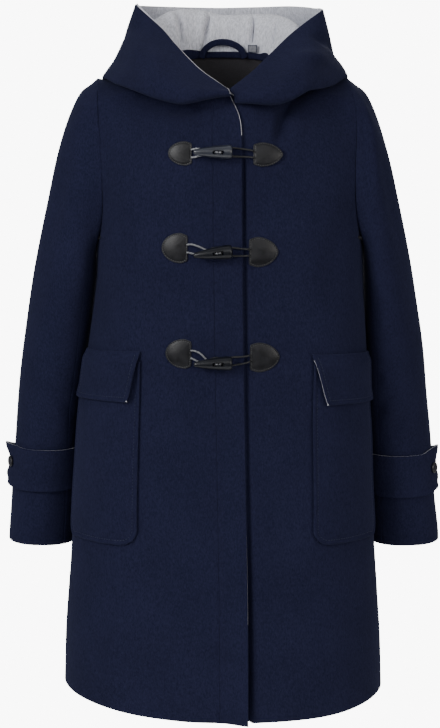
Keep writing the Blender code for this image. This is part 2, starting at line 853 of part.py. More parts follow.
def sleeve_layers():
    outer = [sleeve_ring(k) for k in SLEEVE_KS]
    outer[0] = [p + Vector((SEAM_GAP, 0, 0)) for p in outer[0]]
    normals = grid_normals(outer, wrap=True)
    inner = moved(outer, normals, SLEEVE_SIGN * WALL)
    inner[0] = [p + rim_in(p, 1.0) * WALL for p in outer[0]]
    last = len(outer) - 1
    for j, p in enumerate(outer[last]):
        middle = sum(outer[last], Vector()) / len(outer[last])
        towards = middle - p
        towards.z = 0
        towards.normalize()
        inner[last][j] = p + towards * WALL
    return outer, inner


SLEEVE_SIGN = 1.0


def make_sleeve(label, side):
    outer, inner = sleeve_layers()
    count = len(RING)
    under = [(j % count) for j in range(-UNDER_SLEEVE, UNDER_SLEEVE + 1)]
    upper = list(range(UNDER_SLEEVE, count - UNDER_SLEEVE + 1))
    for part, picks in (("under", under), ("upper", upper)):
        layers = []
        for layer in (outer, inner):
            rows = []
            for ring in layer:
                line = [ring[j].copy() for j in picks]
                for end, step in ((0, 1), (-1, -1)):
                    here = picks[end]
                    along = ring[(here + step) % count] - ring[(here - step) % count]
                    along.normalize()
                    line[end] = line[end] + along * (SEAM_GAP / 2)
                rows.append([mirrored(p, side) for p in line])
            layers.append(rows)
        shell("sleeve_%s_%s" % (part, label), "wool_navy", layers[0], layers[1])


def sleeve_at(j, z):
    """Outer point and outward normal of the left sleeve at ring position j and height z."""
    low = 15.0
    high = 6.0
    j0 = int(math.floor(j))
    f = j - j0
    count = len(RING)

    def at(k, jj):
        ring = sleeve_ring(k)
        base = int(math.floor(jj))
        g = jj - base
        return spline([ring[(base + d) % count] for d in (-1, 0, 1, 2)], 1.0 + g)

    for _ in range(18):
        middle = (low + high) / 2
        if at(middle, j0 + f).z > z:
            high = middle
        else:
            low = middle
    k = (low + high) / 2
    here = at(k, j)
    across = at(k, j + 0.3) - at(k, j - 0.3)
    down = at(min(k + 0.2, 15.0), j) - at(k - 0.2, j)
    normal = across.cross(down)
    normal.normalize()
    if normal.dot(here - Vector((245.0, 45.0, here.z))) < 0:
        normal.negate()
    return here, normal


def make_cuff_strap(label, side):
    """Tab from the under sleeve round the front of the cuff, buttoned at its outer end."""
    near = []
    far = []
    steps = 11
    first = 3.2
    last = 12.6
    for i in range(steps + 1):
        s = i / steps
        j = lerp(first, last, s)
        tip = smoothstep((s - 0.86) / 0.14)
        top = STRAP_TOP - 3.0 * s - 8.0 * tip * tip
        bottom = STRAP_BOTTOM - 3.0 * s + 16.0 * tip
        line_near = []
        line_far = []
        for g in (0.0, 0.5, 1.0):
            here, normal = sleeve_at(j, lerp(bottom, top, g))
            lift = ON_PANEL + 0.4 + 5.0 * smoothstep((s - 0.72) / 0.28) * g
            line_near.append(mirrored(here + normal * lift, side))
            line_far.append(mirrored(here + normal * (lift + STRAP_WALL), side))
        near.append(line_near)
        far.append(line_far)
    shell("cuff_strap_%s" % label, "wool_navy", near, far)


def lathe(name, slot, profile, origin, axis, segments):
    """Turned solid: profile of (along, radius) about an axis; ends close on their own radius."""
    axis = axis.normalized()
    side = axis.orthogonal().normalized()
    up = axis.cross(side)
    verts = []
    for along, radius in profile:
        for n in range(segments):
            a = 2 * math.pi * n / segments
            verts.append(origin + axis * along + (side * math.cos(a) + up * math.sin(a)) * radius)
    faces = []
    for r in range(len(profile) - 1):
        for n in range(segments):
            m = (n + 1) % segments
            faces.append([r * segments + n, r * segments + m, (r + 1) * segments + m, (r + 1) * segments + n])
    faces.append(list(range(segments)))
    faces.append([(len(profile) - 1) * segments + n for n in range(segments)])
    return add_object(name, slot, verts, faces)


def make_button(label, side):
    here, normal = sleeve_at(10.9, (STRAP_TOP + STRAP_BOTTOM) / 2 + 4.0)
    base = here + normal * (ON_PANEL + 0.4 + STRAP_WALL + 1.4)
    profile = ((0.0, BUTTON_R - 2.0), (0.8, BUTTON_R - 0.4), (2.0, BUTTON_R), (BUTTON_T, BUTTON_R - 1.0),
               (BUTTON_T - 0.2, BUTTON_R - 2.2), (BUTTON_T - 1.2, BUTTON_R - 3.2))
    lathe("cuff_button_%s" % label, "button_dark", profile, mirrored(base, side), mirrored(normal, side), 20)


# ---------------------------------------------------------------- pockets
def pocket_inner_x(z):
    return 110.5 + 4.0 * smoothstep((-400.0 - z) / 200.0)


def flap_top(s):
    return lerp(-379.0, -388.0, s)


def make_pocket(label, side):
    rows = 7
    near = []
    far = []
    width = 140.0
    for s in (0.0, 0.02, 0.06, 0.12, 0.25, 0.42, 0.6, 0.78, 0.9, 0.97, 1.0):
        edge = min(s, 1.0 - s) * width
        lift = 0.0
        if edge < POCKET_CORNER:
            lift = POCKET_CORNER * (1.0 - math.sqrt(1.0 - (1.0 - edge / POCKET_CORNER) ** 2))
        line_near = []
        line_far = []
        for r in range(rows + 1):
            z = lerp(POCKET_BOTTOM + lift, flap_top(s) - 23.0, r / rows)
            start = theta_of(pocket_inner_x(z), z)
            theta = lerp(start, math.radians(POCKET_REACH), s) * side
            line_near.append(front_outer(theta, z, side, ON_PANEL))
            line_far.append(front_outer(theta, z, side, ON_PANEL + POCKET_WALL))
        near.append(line_near)
        far.append(line_far)
    shell("pocket_%s" % label, "wool_navy", near, far)


def make_flap(label, side):
    columns = 8
    near = []
    far = []
    for c in range(columns + 1):
        s = c / columns
        line_near = []
        line_far = []
        for r, g in enumerate((1.0, 0.74, 0.37, 0.0)):
            corner = 5.0 * (1.0 - smoothstep(min(s, 1 - s) / 0.14)) * (1.0 - g)
            top = flap_top(s)
            bottom = lerp(-446.0, -459.0, s) + corner
            z = lerp(bottom, top, g)
            inner_x = lerp(124.0, 109.0, g)
            start = theta_of(inner_x, z)
            theta = lerp(start, math.radians(POCKET_REACH + 0.6), s) * side
            under = ON_PANEL if r == 0 else ON_PANEL + POCKET_WALL + 0.8
            line_near.append(front_outer(theta, z, side, under))
            line_far.append(front_outer(theta, z, side, under + FLAP_WALL))
        near.append(line_near)
        far.append(line_far)
    shell("pocket_flap_%s" % label, "wool_navy", near, far)


# ---------------------------------------------------------------- fastenings
def make_patch(name, side, x, z, width, height):
    """Leather patch, flat side towards the toggle and a rounded point away from it."""
    columns = 5
    rows = 4
    near = []
    far = []
    for c in range(columns + 1):
        s = (0.0, 0.12, 0.45, 0.72, 0.92, 1.0)[c]
        reach = math.sqrt(max(0.0, 1.0 - s ** 2.6)) if s < 1.0 else 0.0
        tall = height / 2 * max(0.25, reach ** 0.8)
        if c == 0:
            tall -= 2.2
        line_near = []
        line_far = []
        for r in range(rows + 1):
            v = lerp(-1.0, 1.0, r / rows)
            px = x + side * (-width / 2 + s * width)
            pz = z + v * tall
            line_near.append(front_outer(theta_of(px, pz), pz, side, 0.6))
            line_far.append(front_outer(theta_of(px, pz), pz, side, 0.6 + PATCH_WALL))
        near.append(line_near)
        far.append(line_far)
    shell(name, "leather_grey", near, far)


def tube(name, slot, points, radius, sides=6):
    """Cord along a path with square-cut ends."""
    verts = []
    frame = None
    for i, point in enumerate(points):
        ahead = points[min(i + 1, len(points) - 1)] - points[max(i - 1, 0)]
        ahead.normalize()
        if frame is None:
            frame = ahead.orthogonal().normalized()
        frame = frame - ahead * frame.dot(ahead)
        frame.normalize()
        other = ahead.cross(frame)
        for n in range(sides):
            a = 2 * math.pi * n / sides
            verts.append(point + (frame * math.cos(a) + other * math.sin(a)) * radius)
    faces = []
    for r in range(len(points) - 1):
        for n in range(sides):
            m = (n + 1) % sides
            faces.append([r * sides + n, r * sides + m, (r + 1) * sides + m, (r + 1) * sides + n])
    faces.append(list(range(sides)))
    faces.append([(len(points) - 1) * sides + n for n in range(sides)])
    add_object(name, slot, verts, faces)


def smooth_path(points, per_span):
    out = []
    for i in range(len(points) - 1):
        for s in range(per_span):
            out.append(spline(points, i + s / per_span))
    out.append(points[-1].copy())
    return out


def over_front(x, z, height):
    """Point a height in front of the stand's outer face."""
    y = body_point(theta_of(x, z), z).y - LAP
    return Vector((x, y - height, z))


def make_toggle(number, z, tilt):
    middle = over_front(TOGGLE_X, z, TOGGLE_HEIGHT)
    angle = math.radians(tilt)
    axis = Vector((math.cos(angle), 0.0, math.sin(angle)))
    toggle = lathe("toggle_%d" % number, "horn_grey", TOGGLE_PROFILE, middle, axis, 14)
    for along in TOGGLE_HOLES:
        place = middle + axis * along
        cutter = lathe("cut", "horn_grey", ((-14.0, HOLE_R), (14.0, HOLE_R)), place, Vector((0, 1, 0)), 8)
        cutter.hide_render = True
        cutter.display_type = "WIRE"
        cut = toggle.modifiers.new("hole", "BOOLEAN")
        cut.operation = "DIFFERENCE"
        cut.solver = "EXACT"
        cut.object = cutter
        bpy.context.view_layer.update()
        shape = bpy.data.meshes.new_from_object(toggle.evaluated_get(bpy.context.evaluated_depsgraph_get()))
        toggle.modifiers.clear()
        toggle.data = shape
        bpy.data.objects.remove(cutter)
    return middle, axis


def make_fastening(number, row, tilt, patch_w, patch_h):
    z, right_x, right_z, left_x, left_z = row
    middle, axis = make_toggle(number, z, tilt)
    make_patch("patch_right_%d" % number, -1, right_x, right_z, patch_w, patch_h)
    make_patch("patch_left_%d" % number, 1, left_x, left_z, patch_w, patch_h)
    low = CORD_R + 0.5
    hole_a = middle + axis * TOGGLE_HOLES[0]
    hole_b = middle + axis * TOGGLE_HOLES[1]
    start = right_x + patch_w / 2 + 0.8

    def up(base, height):
        return Vector((base.x, over_front(base.x, base.z, height).y, base.z))

    mouth = TOGGLE_HEIGHT + 8.9
    path = [
        over_front(start, right_z + 4.5, low + 0.8),
        over_front(start + 7.0, lerp(right_z, z, 0.3) + 4.5, low + 0.5),
        over_front(hole_a.x - 9.0, hole_a.z + 3.4, low),
        over_front(hole_a.x - 2.6, hole_a.z + 1.0, low),
        over_front(hole_a.x - 0.6, hole_a.z + 0.2, low + 1.4),
        up(hole_a, low + 4.2),
        up(hole_a, TOGGLE_HEIGHT),
        up(hole_a, mouth),
        up(hole_a.lerp(hole_b, 0.07), mouth + 1.7),
        up(hole_a.lerp(hole_b, 0.25), mouth + 2.5),
        up(hole_a.lerp(hole_b, 0.75), mouth + 2.5),
        up(hole_a.lerp(hole_b, 0.93), mouth + 1.7),
        up(hole_b, mouth),
        up(hole_b, TOGGLE_HEIGHT),
        up(hole_b, low + 3.6),
        over_front(hole_b.x - 0.6, hole_b.z - 0.3, low + 1.2),
        over_front(hole_b.x - 3.0, hole_b.z - 1.6, low),
        over_front(hole_a.x - 1.0, hole_a.z - 4.6, low),
        over_front(start + 7.0, lerp(right_z, z, 0.3) - 4.5, low + 0.5),
        over_front(start, right_z - 4.5, low + 0.8),
    ]
    tube("toggle_cord_%d" % number, "cord_grey", path, CORD_R)
    begin = left_x - patch_w / 2 - 0.8
    neck_x = hole_a.x - 5.6
    loop = [
        over_front(begin, left_z + 4.0, low - LAP - 1.0),
        over_front(begin - 7.0, lerp(left_z, z, 0.4) + 5.0, low + 1.0),
        over_front(hole_b.x + 3.0, hole_b.z + 6.3, low + 1.0),
        over_front(hole_a.x + 1.0, hole_a.z + 6.6, low + 2.4),
        over_front(neck_x + 0.6, hole_a.z + 4.6, low + 3.1),
        over_front(neck_x - 0.6, hole_a.z, low + 3.3),
        over_front(neck_x + 0.6, hole_a.z - 4.6, low + 3.1),
        over_front(hole_a.x + 1.0, hole_a.z - 6.8, low + 2.4),
        over_front(hole_b.x + 3.0, hole_b.z - 6.8, low + 1.0),
        over_front(begin - 7.0, lerp(left_z, z, 0.4) - 4.6, low + 1.0),
        over_front(begin, left_z - 4.0, low - LAP - 1.0),
    ]
    tube("fastening_loop_%d" % number, "cord_grey", smooth_path(loop, 2), CORD_R)


def main():
    clear_scene()
    make_front("front_right", -1)
    make_front("front_left", 1)
    make_band()
    grid, inner = make_back()
    make_back_facing(inner)
    make_hood()
    make_neck_band()
    make_hanger_loop()
    make_size_tag()
    for label, side in (("right", -1), ("left", 1)):
        make_sleeve(label, side)
        make_cuff_strap(label, side)
        make_button(label, side)
        make_pocket(label, side)
        make_flap(label, side)
    for n, row in enumerate(FASTENINGS):
        make_fastening(n + 1, row, TOGGLE_TILT[n], PATCH_W[n], PATCH_H[n])


main()
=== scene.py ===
"""Looks of the duffle coat: fine cloth, trim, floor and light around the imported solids.

Millimetres in the tables, metres in the scene.  The wearer's right side is at -X.
"""
import json
import math

import bmesh
import bpy
import numpy as np
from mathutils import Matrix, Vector

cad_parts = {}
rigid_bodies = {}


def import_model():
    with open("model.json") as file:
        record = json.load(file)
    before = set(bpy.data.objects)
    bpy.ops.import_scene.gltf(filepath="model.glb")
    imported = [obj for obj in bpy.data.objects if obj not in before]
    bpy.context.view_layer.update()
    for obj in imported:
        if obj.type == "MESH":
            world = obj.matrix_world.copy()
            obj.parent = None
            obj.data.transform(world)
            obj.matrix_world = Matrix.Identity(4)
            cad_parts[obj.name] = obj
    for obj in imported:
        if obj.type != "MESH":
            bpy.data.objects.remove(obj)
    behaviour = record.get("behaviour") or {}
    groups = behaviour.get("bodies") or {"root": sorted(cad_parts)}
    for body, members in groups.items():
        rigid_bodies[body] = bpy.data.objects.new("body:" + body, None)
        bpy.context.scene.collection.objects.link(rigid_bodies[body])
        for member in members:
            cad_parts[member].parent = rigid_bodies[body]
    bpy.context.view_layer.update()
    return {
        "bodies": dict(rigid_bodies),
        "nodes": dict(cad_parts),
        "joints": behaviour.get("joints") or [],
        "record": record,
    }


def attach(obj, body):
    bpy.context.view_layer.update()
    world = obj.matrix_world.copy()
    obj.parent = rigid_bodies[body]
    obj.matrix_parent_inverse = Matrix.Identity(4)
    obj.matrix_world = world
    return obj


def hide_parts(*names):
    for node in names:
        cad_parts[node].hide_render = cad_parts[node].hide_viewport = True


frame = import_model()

# ---------------------------------------------------------------- camera
VIEW_FROM = (-0.004, -2.600, 0.060)
VIEW_DOWN = 10.3
SENSOR = 36.0
PHOTO_HEIGHT = 728.0
FOCAL_PIXELS = 1970.0


def make_camera():
    data = bpy.data.cameras.new("camera")
    data.sensor_width = SENSOR
    data.lens = SENSOR * FOCAL_PIXELS / PHOTO_HEIGHT
    obj = bpy.data.objects.new("camera", data)
    obj.location = VIEW_FROM
    obj.rotation_euler = (math.radians(90.0 - VIEW_DOWN), 0.0, 0.0)
    bpy.context.scene.collection.objects.link(obj)
    bpy.context.scene.camera = obj


make_camera()

# ---------------------------------------------------------------- driving sizes (mm)
WALL = 2.8
LINING = 1.4
LAP = 1.7  # how far the lapped fronts stand apart in depth
LEFT_UNDER = 3.0  # how far the left front reaches past the stand's seam
HEM_Z = -864.0
HEM_RISE = 18.0
ARMPIT_Z = -246.0
NECK_FRONT_Z = -50.5
BODY_TOP_Z = -40.0
SEAM_TOP_Z = -118.0
BAND_WIDTH = 36.5
ON_PANEL = 0.8  # air under what is laid on a panel
POCKET_WALL = 2.6
POCKET_BOTTOM = -640.0
POCKET_REACH = 79.0  # degrees round the body to the pocket's outer edge
POCKET_CORNER = 22.0
POCKET_WIDTH = 140.0
POCKET_HEIGHT = 238.0
POCKET_UNDER_FLAP = 14.0
STITCHED_HEIGHT = 200.0  # up to where the flap covers the pocket
FLAP_WALL = 2.6
FLAP_WIDTH = 120.0
FLAP_DROP = 66.0
FLAP_CORNER = 6.0
STRAP_WALL = 2.4
STRAP_TOP = -521.0
STRAP_BOTTOM = -579.0
BUTTON_R = 7.6
BUTTON_T = 3.4
TOGGLE_HEIGHT = 14.4  # toggle's axis over the front
TOGGLE_HOLES = (1.0, 11.0)
HOLE_R = 2.6
CORD_R = 1.25

BODY = (
    # z, half_width, front, back, power
    (-880.0, 217.5, 146.0, 138.0, 2.25),
    (-842.0, 218.5, 145.5, 137.5, 2.26),
    (-800.0, 217.0, 144.0, 136.0, 2.27),
    (-720.0, 211.5, 140.5, 132.0, 2.30),
    (-656.0, 206.5, 138.0, 129.5, 2.32),
    (-565.0, 200.5, 135.0, 126.5, 2.35),
    (-500.0, 196.5, 132.5, 123.0, 2.38),
    (-460.0, 193.0, 131.0, 121.0, 2.40),
    (-390.0, 186.0, 129.0, 118.0, 2.42),
    (-350.0, 181.5, 128.5, 116.5, 2.45),
    (-300.0, 177.5, 128.0, 115.5, 2.50),
    (-240.0, 175.0, 127.0, 114.0, 2.50),
    (-150.0, 175.0, 119.0, 112.0, 2.50),
    (-100.0, 174.0, 111.5, 106.0, 2.50),
    (-62.0, 172.5, 104.0, 96.0, 2.50),
    (-40.0, 172.0, 100.0, 88.0, 2.50),
)
ARMHOLE = (
    # x, y (None is read off the body), z
    (175.0, 0.0, -246.0),
    (172.0, None, -238.0),
    (164.5, None, -215.0),
    (160.0, None, -180.0),
    (159.0, None, -140.0),
    (160.5, None, -100.0),
    (162.0, -47.0, -62.0),
    (163.0, -22.0, -41.0),
    (163.5, 8.0, -33.0),
    (163.0, 36.0, -42.0),
    (161.5, 55.0, -66.0),
    (160.5, None, -105.0),
    (160.0, None, -145.0),
    (161.5, None, -185.0),
    (166.0, None, -218.0),
    (172.5, None, -240.0),
)
FRONT_ROWS = 8
CAP_ROWS = 5
BACK_ROWS = 8
HEM_ROWS = 8
HOOD = (
    # u,   neck,             roll,                lower fold,         bulge,              rim
    (0.00, (0, 66, 2), (0, 84, 44), (0, 152, -96), (0, 184, -22), (0, 160, 57)),
    (0.15, (34, 61, 1), (42, 80, 46), (54, 148, -92), (60, 178, -20), (52, 155, 58)),
    (0.30, (63, 43, -3), (80, 62, 44), (104, 128, -78), (116, 150, -14), (100, 126, 59)),
    (0.45, (81, 10, -11), (100, 24, 30), (142, 88, -56), (146, 92, -6), (126, 76, 58)),
    (0.60, (84, -26, -22), (104, -20, 4), (157, 6, -28), (142, 2, 8), (131, 18, 56)),
    (0.75, (69, -70, -39), (84, -75, -24), (110, -98, -46), (104, -88, -14), (88, -30, 24)),
    (0.90, (33, -100, -48), (42, -106, -37), (62, -119, -60), (56, -124, -42), (40, -80, -14)),
    (1.00, (1, -104, -50), (1, -107.5, -40.5), (1, -120, -53), (1, -123, -46.5), (1, -113, -39)),
)
HOOD_MEET = 6.0  # how far the hood's ends meet to the left of the middle
HOOD_NARROW = {-1: (0.095, 0.155), 1: (0.035, 0.036)}  # share taken off the bulge and the rim
SEAM_U = 0.68  # where the shoulder seam meets the neck
BACK_U = 0.30  # end of the back's own neck edge; from here on its shoulder lies along the neck
HOOD_STEPS = (2, 3, 2, 2)
HOOD_US = (0.0, 0.09, 0.18, 0.27, 0.36, 0.44, 0.52, 0.60, 0.68, 0.75, 0.81, 0.86, 0.90, 0.93, 0.96, 0.98, 1.0)
SLEEVE = (
    # k, outer x, y, z, inner x, y, z, half_depth
    (0, 163.5, 8.0, -33.0, 175.0, 0.0, -246.0, 68.0),
    (1, 173.0, 9.0, -41.0, 176.0, 1.0, -255.0, 69.0),
    (2, 186.0, 10.0, -51.0, 176.5, 2.0, -266.0, 70.0),
    (3, 197.0, 11.0, -70.0, 177.0, 3.0, -281.0, 71.0),
    (4, 208.5, 13.0, -99.0, 177.5, 5.0, -300.0, 71.0),
    (5, 219.5, 15.0, -137.0, 178.5, 7.0, -325.0, 70.5),
    (6, 230.0, 18.0, -182.0, 180.0, 10.0, -355.0, 69.0),
    (7, 241.0, 21.0, -230.0, 182.5, 14.0, -388.0, 67.0),
    (8, 252.0, 25.0, -282.0, 185.5, 19.0, -422.0, 65.0),
    (9, 262.0, 29.0, -338.0, 188.5, 26.0, -458.0, 62.5),
    (10, 271.0, 33.0, -395.0, 193.0, 33.0, -498.0, 60.0),
    (11, 278.0, 37.0, -453.0, 195.0, 41.0, -540.0, 57.5),
    (12, 284.0, 41.0, -513.0, 197.0, 48.0, -580.0, 55.0),
    (13, 289.0, 44.0, -572.0, 199.0, 53.0, -614.0, 52.5),
    (14, 292.0, 46.0, -620.0, 201.0, 56.0, -642.0, 50.5),
    (15, 294.5, 47.0, -659.0, 203.0, 57.0, -663.0, 49.5),
)
SLEEVE_KS = (0, 1, 2, 3, 4, 5, 6, 7.2, 8.5, 10, 11.5, 13, 14.2, 15)
UNDER_SLEEVE = 3  # half the under sleeve's width, in places of the ring
SLEEVE_POWER = 0.92  # how square a ring is; 1 is an ellipse
SLEEVE_CLEAR_Z = -215.0  # below it the sleeve keeps clear of the body
FASTENINGS = (
    # toggle's z, right patch's x and z, left patch's x and z, toggle's tilt, patch widths, height
    (-119.5, -54.0, -122.5, 56.0, -124.0, 0.0, 30.0, 37.0, 30.0),
    (-245.5, -61.0, -241.0, 50.5, -246.0, 6.0, 33.0, 37.0, 38.0),
    (-386.0, -56.5, -376.0, 52.5, -381.0, 2.0, 33.0, 38.0, 38.0),
)
TOGGLE_X = -12.0
TOGGLE_PROFILE = (
    # along, radius
    (-25.2, 1.9),
    (-23.6, 3.1),
    (-16.0, 4.9),
    (-6.0, 6.6),
    (5.0, 8.0),
    (14.0, 8.8),
    (20.0, 8.9),
    (22.6, 8.1),
    (23.4, 6.0),
)


# ---------------------------------------------------------------- small maths
def lerp(a, b, f):
    return a + (b - a) * f


def smoothstep(f):
    """Soft step from 0 to 1 for one number; ease is the same for arrays."""
    f = min(1.0, max(0.0, f))
    return f * f * (3.0 - 2.0 * f)


def ease(f):
    f = np.clip(f, 0.0, 1.0)
    return f * f * (3.0 - 2.0 * f)


def window(x, centre, reach):
    """1 at the centre, easing out to 0 at reach on both sides of it."""
    return ease(1.0 - np.abs(x - centre) / reach)


def bell(x, width):
    return np.exp(-(x / width) ** 2)


def hermite(table, key):
    """Smooth reading of a table whose first column rises, at the key."""
    last = len(table) - 1
    key = min(max(key, table[0][0]), table[last][0])
    i = 0
    while i < last - 1 and key > table[i + 1][0]:
        i += 1
    rows = [table[max(i - 1, 0)], table[i], table[i + 1], table[min(i + 2, last)]]
    span = rows[2][0] - rows[1][0]
    f = (key - rows[1][0]) / span
    out = []
    for c in range(1, len(rows[1])):
        slope1 = (rows[2][c] - rows[0][c]) / max(rows[2][0] - rows[0][0], 1e-6) * span
        slope2 = (rows[3][c] - rows[1][c]) / max(rows[3][0] - rows[1][0], 1e-6) * span
        h00 = (1 + 2 * f) * (1 - f) ** 2
        h10 = f * (1 - f) ** 2
        h01 = f * f * (3 - 2 * f)
        h11 = f * f * (f - 1)
        out.append(h00 * rows[1][c] + h10 * slope1 + h01 * rows[2][c] + h11 * slope2)
    return out


def catmull(p0, p1, p2, p3, f):
    """Point at f between p1 and p2 of the smooth curve through all four."""
    return 0.5 * (2 * p1 + (p2 - p0) * f + (2 * p0 - 5 * p1 + 4 * p2 - p3) * f * f
                  + (3 * p1 - p0 - 3 * p2 + p3) * f ** 3)


def spline(points, t, closed=False):
    """Catmull-Rom through points, one unit of t per span."""
    count = len(points)
    i = int(math.floor(t))
    if not closed:
        i = min(max(i, 0), count - 2)
    f = t - i
    if closed:
        picks = [points[(i + d) % count] for d in (-1, 0, 1, 2)]
    else:
        picks = [points[min(max(i + d, 0), count - 1)] for d in (-1, 0, 1, 2)]
        if i == 0:
            picks[0] = picks[1] * 2 - picks[2]
        if i == count - 2:
            picks[3] = picks[2] * 2 - picks[1]
    return catmull(*picks, f)


def refine(grid, steps, wrap=False):
    """The same curve through rows of points, with each span cut into steps."""
    a = np.asarray(grid, float)
    if wrap:
        p = np.concatenate([a[-1:], a, a[:2]])
        spans = len(a)
    else:
        p = np.concatenate([2 * a[:1] - a[1:2], a, 2 * a[-1:] - a[-2:-1]])
        spans = len(a) - 1
    if np.isscalar(steps):
        steps = [steps] * spans
    out = []
    for i in range(spans):
        for s in range(steps[i]):
            out.append(catmull(*p[i:i + 4], s / steps[i]))
    if not wrap:
        out.append(p[-2])
    return np.array(out)


def refine2(grid, row_steps, col_steps, wrap=False):
    fine = refine(grid, row_steps)
    return refine(fine.swapaxes(0, 1), col_steps, wrap).swapaxes(0, 1)


# ---------------------------------------------------------------- the body's form
def body_point(theta, z):
    """theta 0 is the front centre, 90 degrees the left side seam, 180 the back centre."""
    half, front, back, power = hermite(BODY, z)
    s = math.sin(theta)
    c = math.cos(theta)
    x = half * math.copysign(abs(s) ** (2 / power), s)
    depth = front if c > 0 else back
    y = -depth * math.copysign(abs(c) ** (2 / power), c)
    return Vector((x, y, z))


def theta_of(x, z, at_back=False):
    """The body's angle at which its surface has this x."""
    half, _, _, power = hermite(BODY, z)
    theta = math.asin(min(1.0, abs(x) / half) ** (power / 2))
    if at_back:
        theta = math.pi - theta
    return math.copysign(theta, x)


def hem_z(theta):
    return HEM_Z + HEM_RISE * math.sin(theta) ** 2


def seam_x(z):
    """The seam between the right front and the stand, which leans out to the hem."""
    return -12.9 + 8.8 * smoothstep((SEAM_TOP_Z - z) / 740.0)


def free_edge_x(z):
    """The stand's other edge, cut back at the neck."""
    edge = seam_x(z) + BAND_WIDTH
    corner = smoothstep((z + 90.0) / 56.0)
    return lerp(edge, 5.0, corner)


def lap_shift(x, side):
    """The right front and the stand lie before the body's form, the left front behind it."""
    if side < 0:
        return Vector((0, -LAP * smoothstep((x + 75.0) / 50.0), 0))
    return Vector((0, LAP * (1.0 - smoothstep((x - 36.0) / 36.0)), 0))


def armhole_loop():
    """Points round the left armhole, from the armpit up the front, over the cap and down the back."""
    points = []
    for i, (x, y, z) in enumerate(ARMHOLE):
        if y is None:
            y = body_point(theta_of(x, z, at_back=i > 8), z).y
        points.append(Vector((x, y, z)))
    loop = []
    for i in range(FRONT_ROWS):
        loop.append(spline(points, 6.0 * i / FRONT_ROWS, closed=True))
    for i in range(CAP_ROWS):
        loop.append(spline(points, 6.0 + 4.0 * i / CAP_ROWS, closed=True))
    for i in range(BACK_ROWS):
        loop.append(spline(points, 10.0 + 6.0 * i / BACK_ROWS, closed=True))
    return loop


RING = armhole_loop()


def hood_row(u, column):
    """Left half of one of the hood's lines; u is 0 at the centre back and 1 at the centre front."""
    table = [(row[0], *row[column]) for row in HOOD]
    return Vector(hermite(table, abs(u)))


def neck_point(u):
    p = hood_row(u, 1)
    return Vector((math.copysign(p.x, u), p.y, p.z))


def relax(grid, rows, passes, pinned):
    """Evens out the points of some rows; the first and last of a row and the pinned stay."""
    for _ in range(passes):
        fresh = [list(line) for line in grid]
        for i in rows:
            for j in range(1, len(grid[i]) - 1):
                if (i, j) in pinned or grid[i][j] is None:
                    continue
                near = [grid[i - 1][j], grid[i][j - 1], grid[i][j + 1]]
                near.append(grid[i + 1][j] if i + 1 < len(grid) else None)
                if any(p is None for p in near):
                    continue
                fresh[i][j] = lerp(grid[i][j], sum(near, Vector()) / 4, 0.6)
        for i, line in enumerate(fresh):
            grid[i] = line


FRONT_COLS = 10
FRONT_NECK = 5
BACK_HALF = 9
BACK_NECK = 4


def front_levels():
    levels = [lerp(HEM_Z, ARMPIT_Z, i / HEM_ROWS) for i in range(HEM_ROWS + 1)]
    levels += [lerp(ARMPIT_Z, NECK_FRONT_Z, (i + 1) / FRONT_ROWS) for i in range(FRONT_ROWS)]
    return levels


def front_top(s, arm, edge):
    """The front's upper edge: along the neck to the shoulder seam, then out to the armhole."""
    neck_s = FRONT_NECK / FRONT_COLS
    if s <= neck_s:
        point = neck_point(lerp(1.0, SEAM_U, s / neck_s))
        if s == 0.0:
            point.x = edge
        return point
    return neck_point(SEAM_U).lerp(arm, (s - neck_s) / (1.0 - neck_s))


def front_grid(side):
    """Points of a front from hem to neck, each row from the front edge to the side or armhole."""
    grid = []
    levels = front_levels()
    for r, level in enumerate(levels):
        line = []
        arm = RING[0] if r <= HEM_ROWS else RING[r - HEM_ROWS]
        edge = -seam_x(level) if side < 0 else seam_x(level) - LEFT_UNDER
        start = theta_of(edge, level)
        end = math.pi / 2 if r <= HEM_ROWS else theta_of(arm.x, arm.z)
        for c in range(FRONT_COLS + 1):
            s = c / FRONT_COLS
            theta = lerp(start, end, s)
            if r <= HEM_ROWS:
                z = level + (hem_z(theta) - HEM_Z) * (1.0 - r / HEM_ROWS)
            else:
                z = lerp(level, arm.z, s ** 2.2)
            point = body_point(theta, z)
            if c == FRONT_COLS and r > HEM_ROWS:
                point = arm.copy()
            if r == len(levels) - 1:
                point = front_top(s, arm, edge)
            line.append(point)
        grid.append(line)
    kept = {(r, c) for r in range(len(levels)) for c in (1, 2)}
    relax(grid, range(HEM_ROWS + 4, len(levels) - 1), 6, kept)
    for line in grid:
        for c, point in enumerate(line):
            real_x = point.x * side
            line[c] = Vector((real_x, point.y, point.z)) + lap_shift(real_x, side)
    return grid


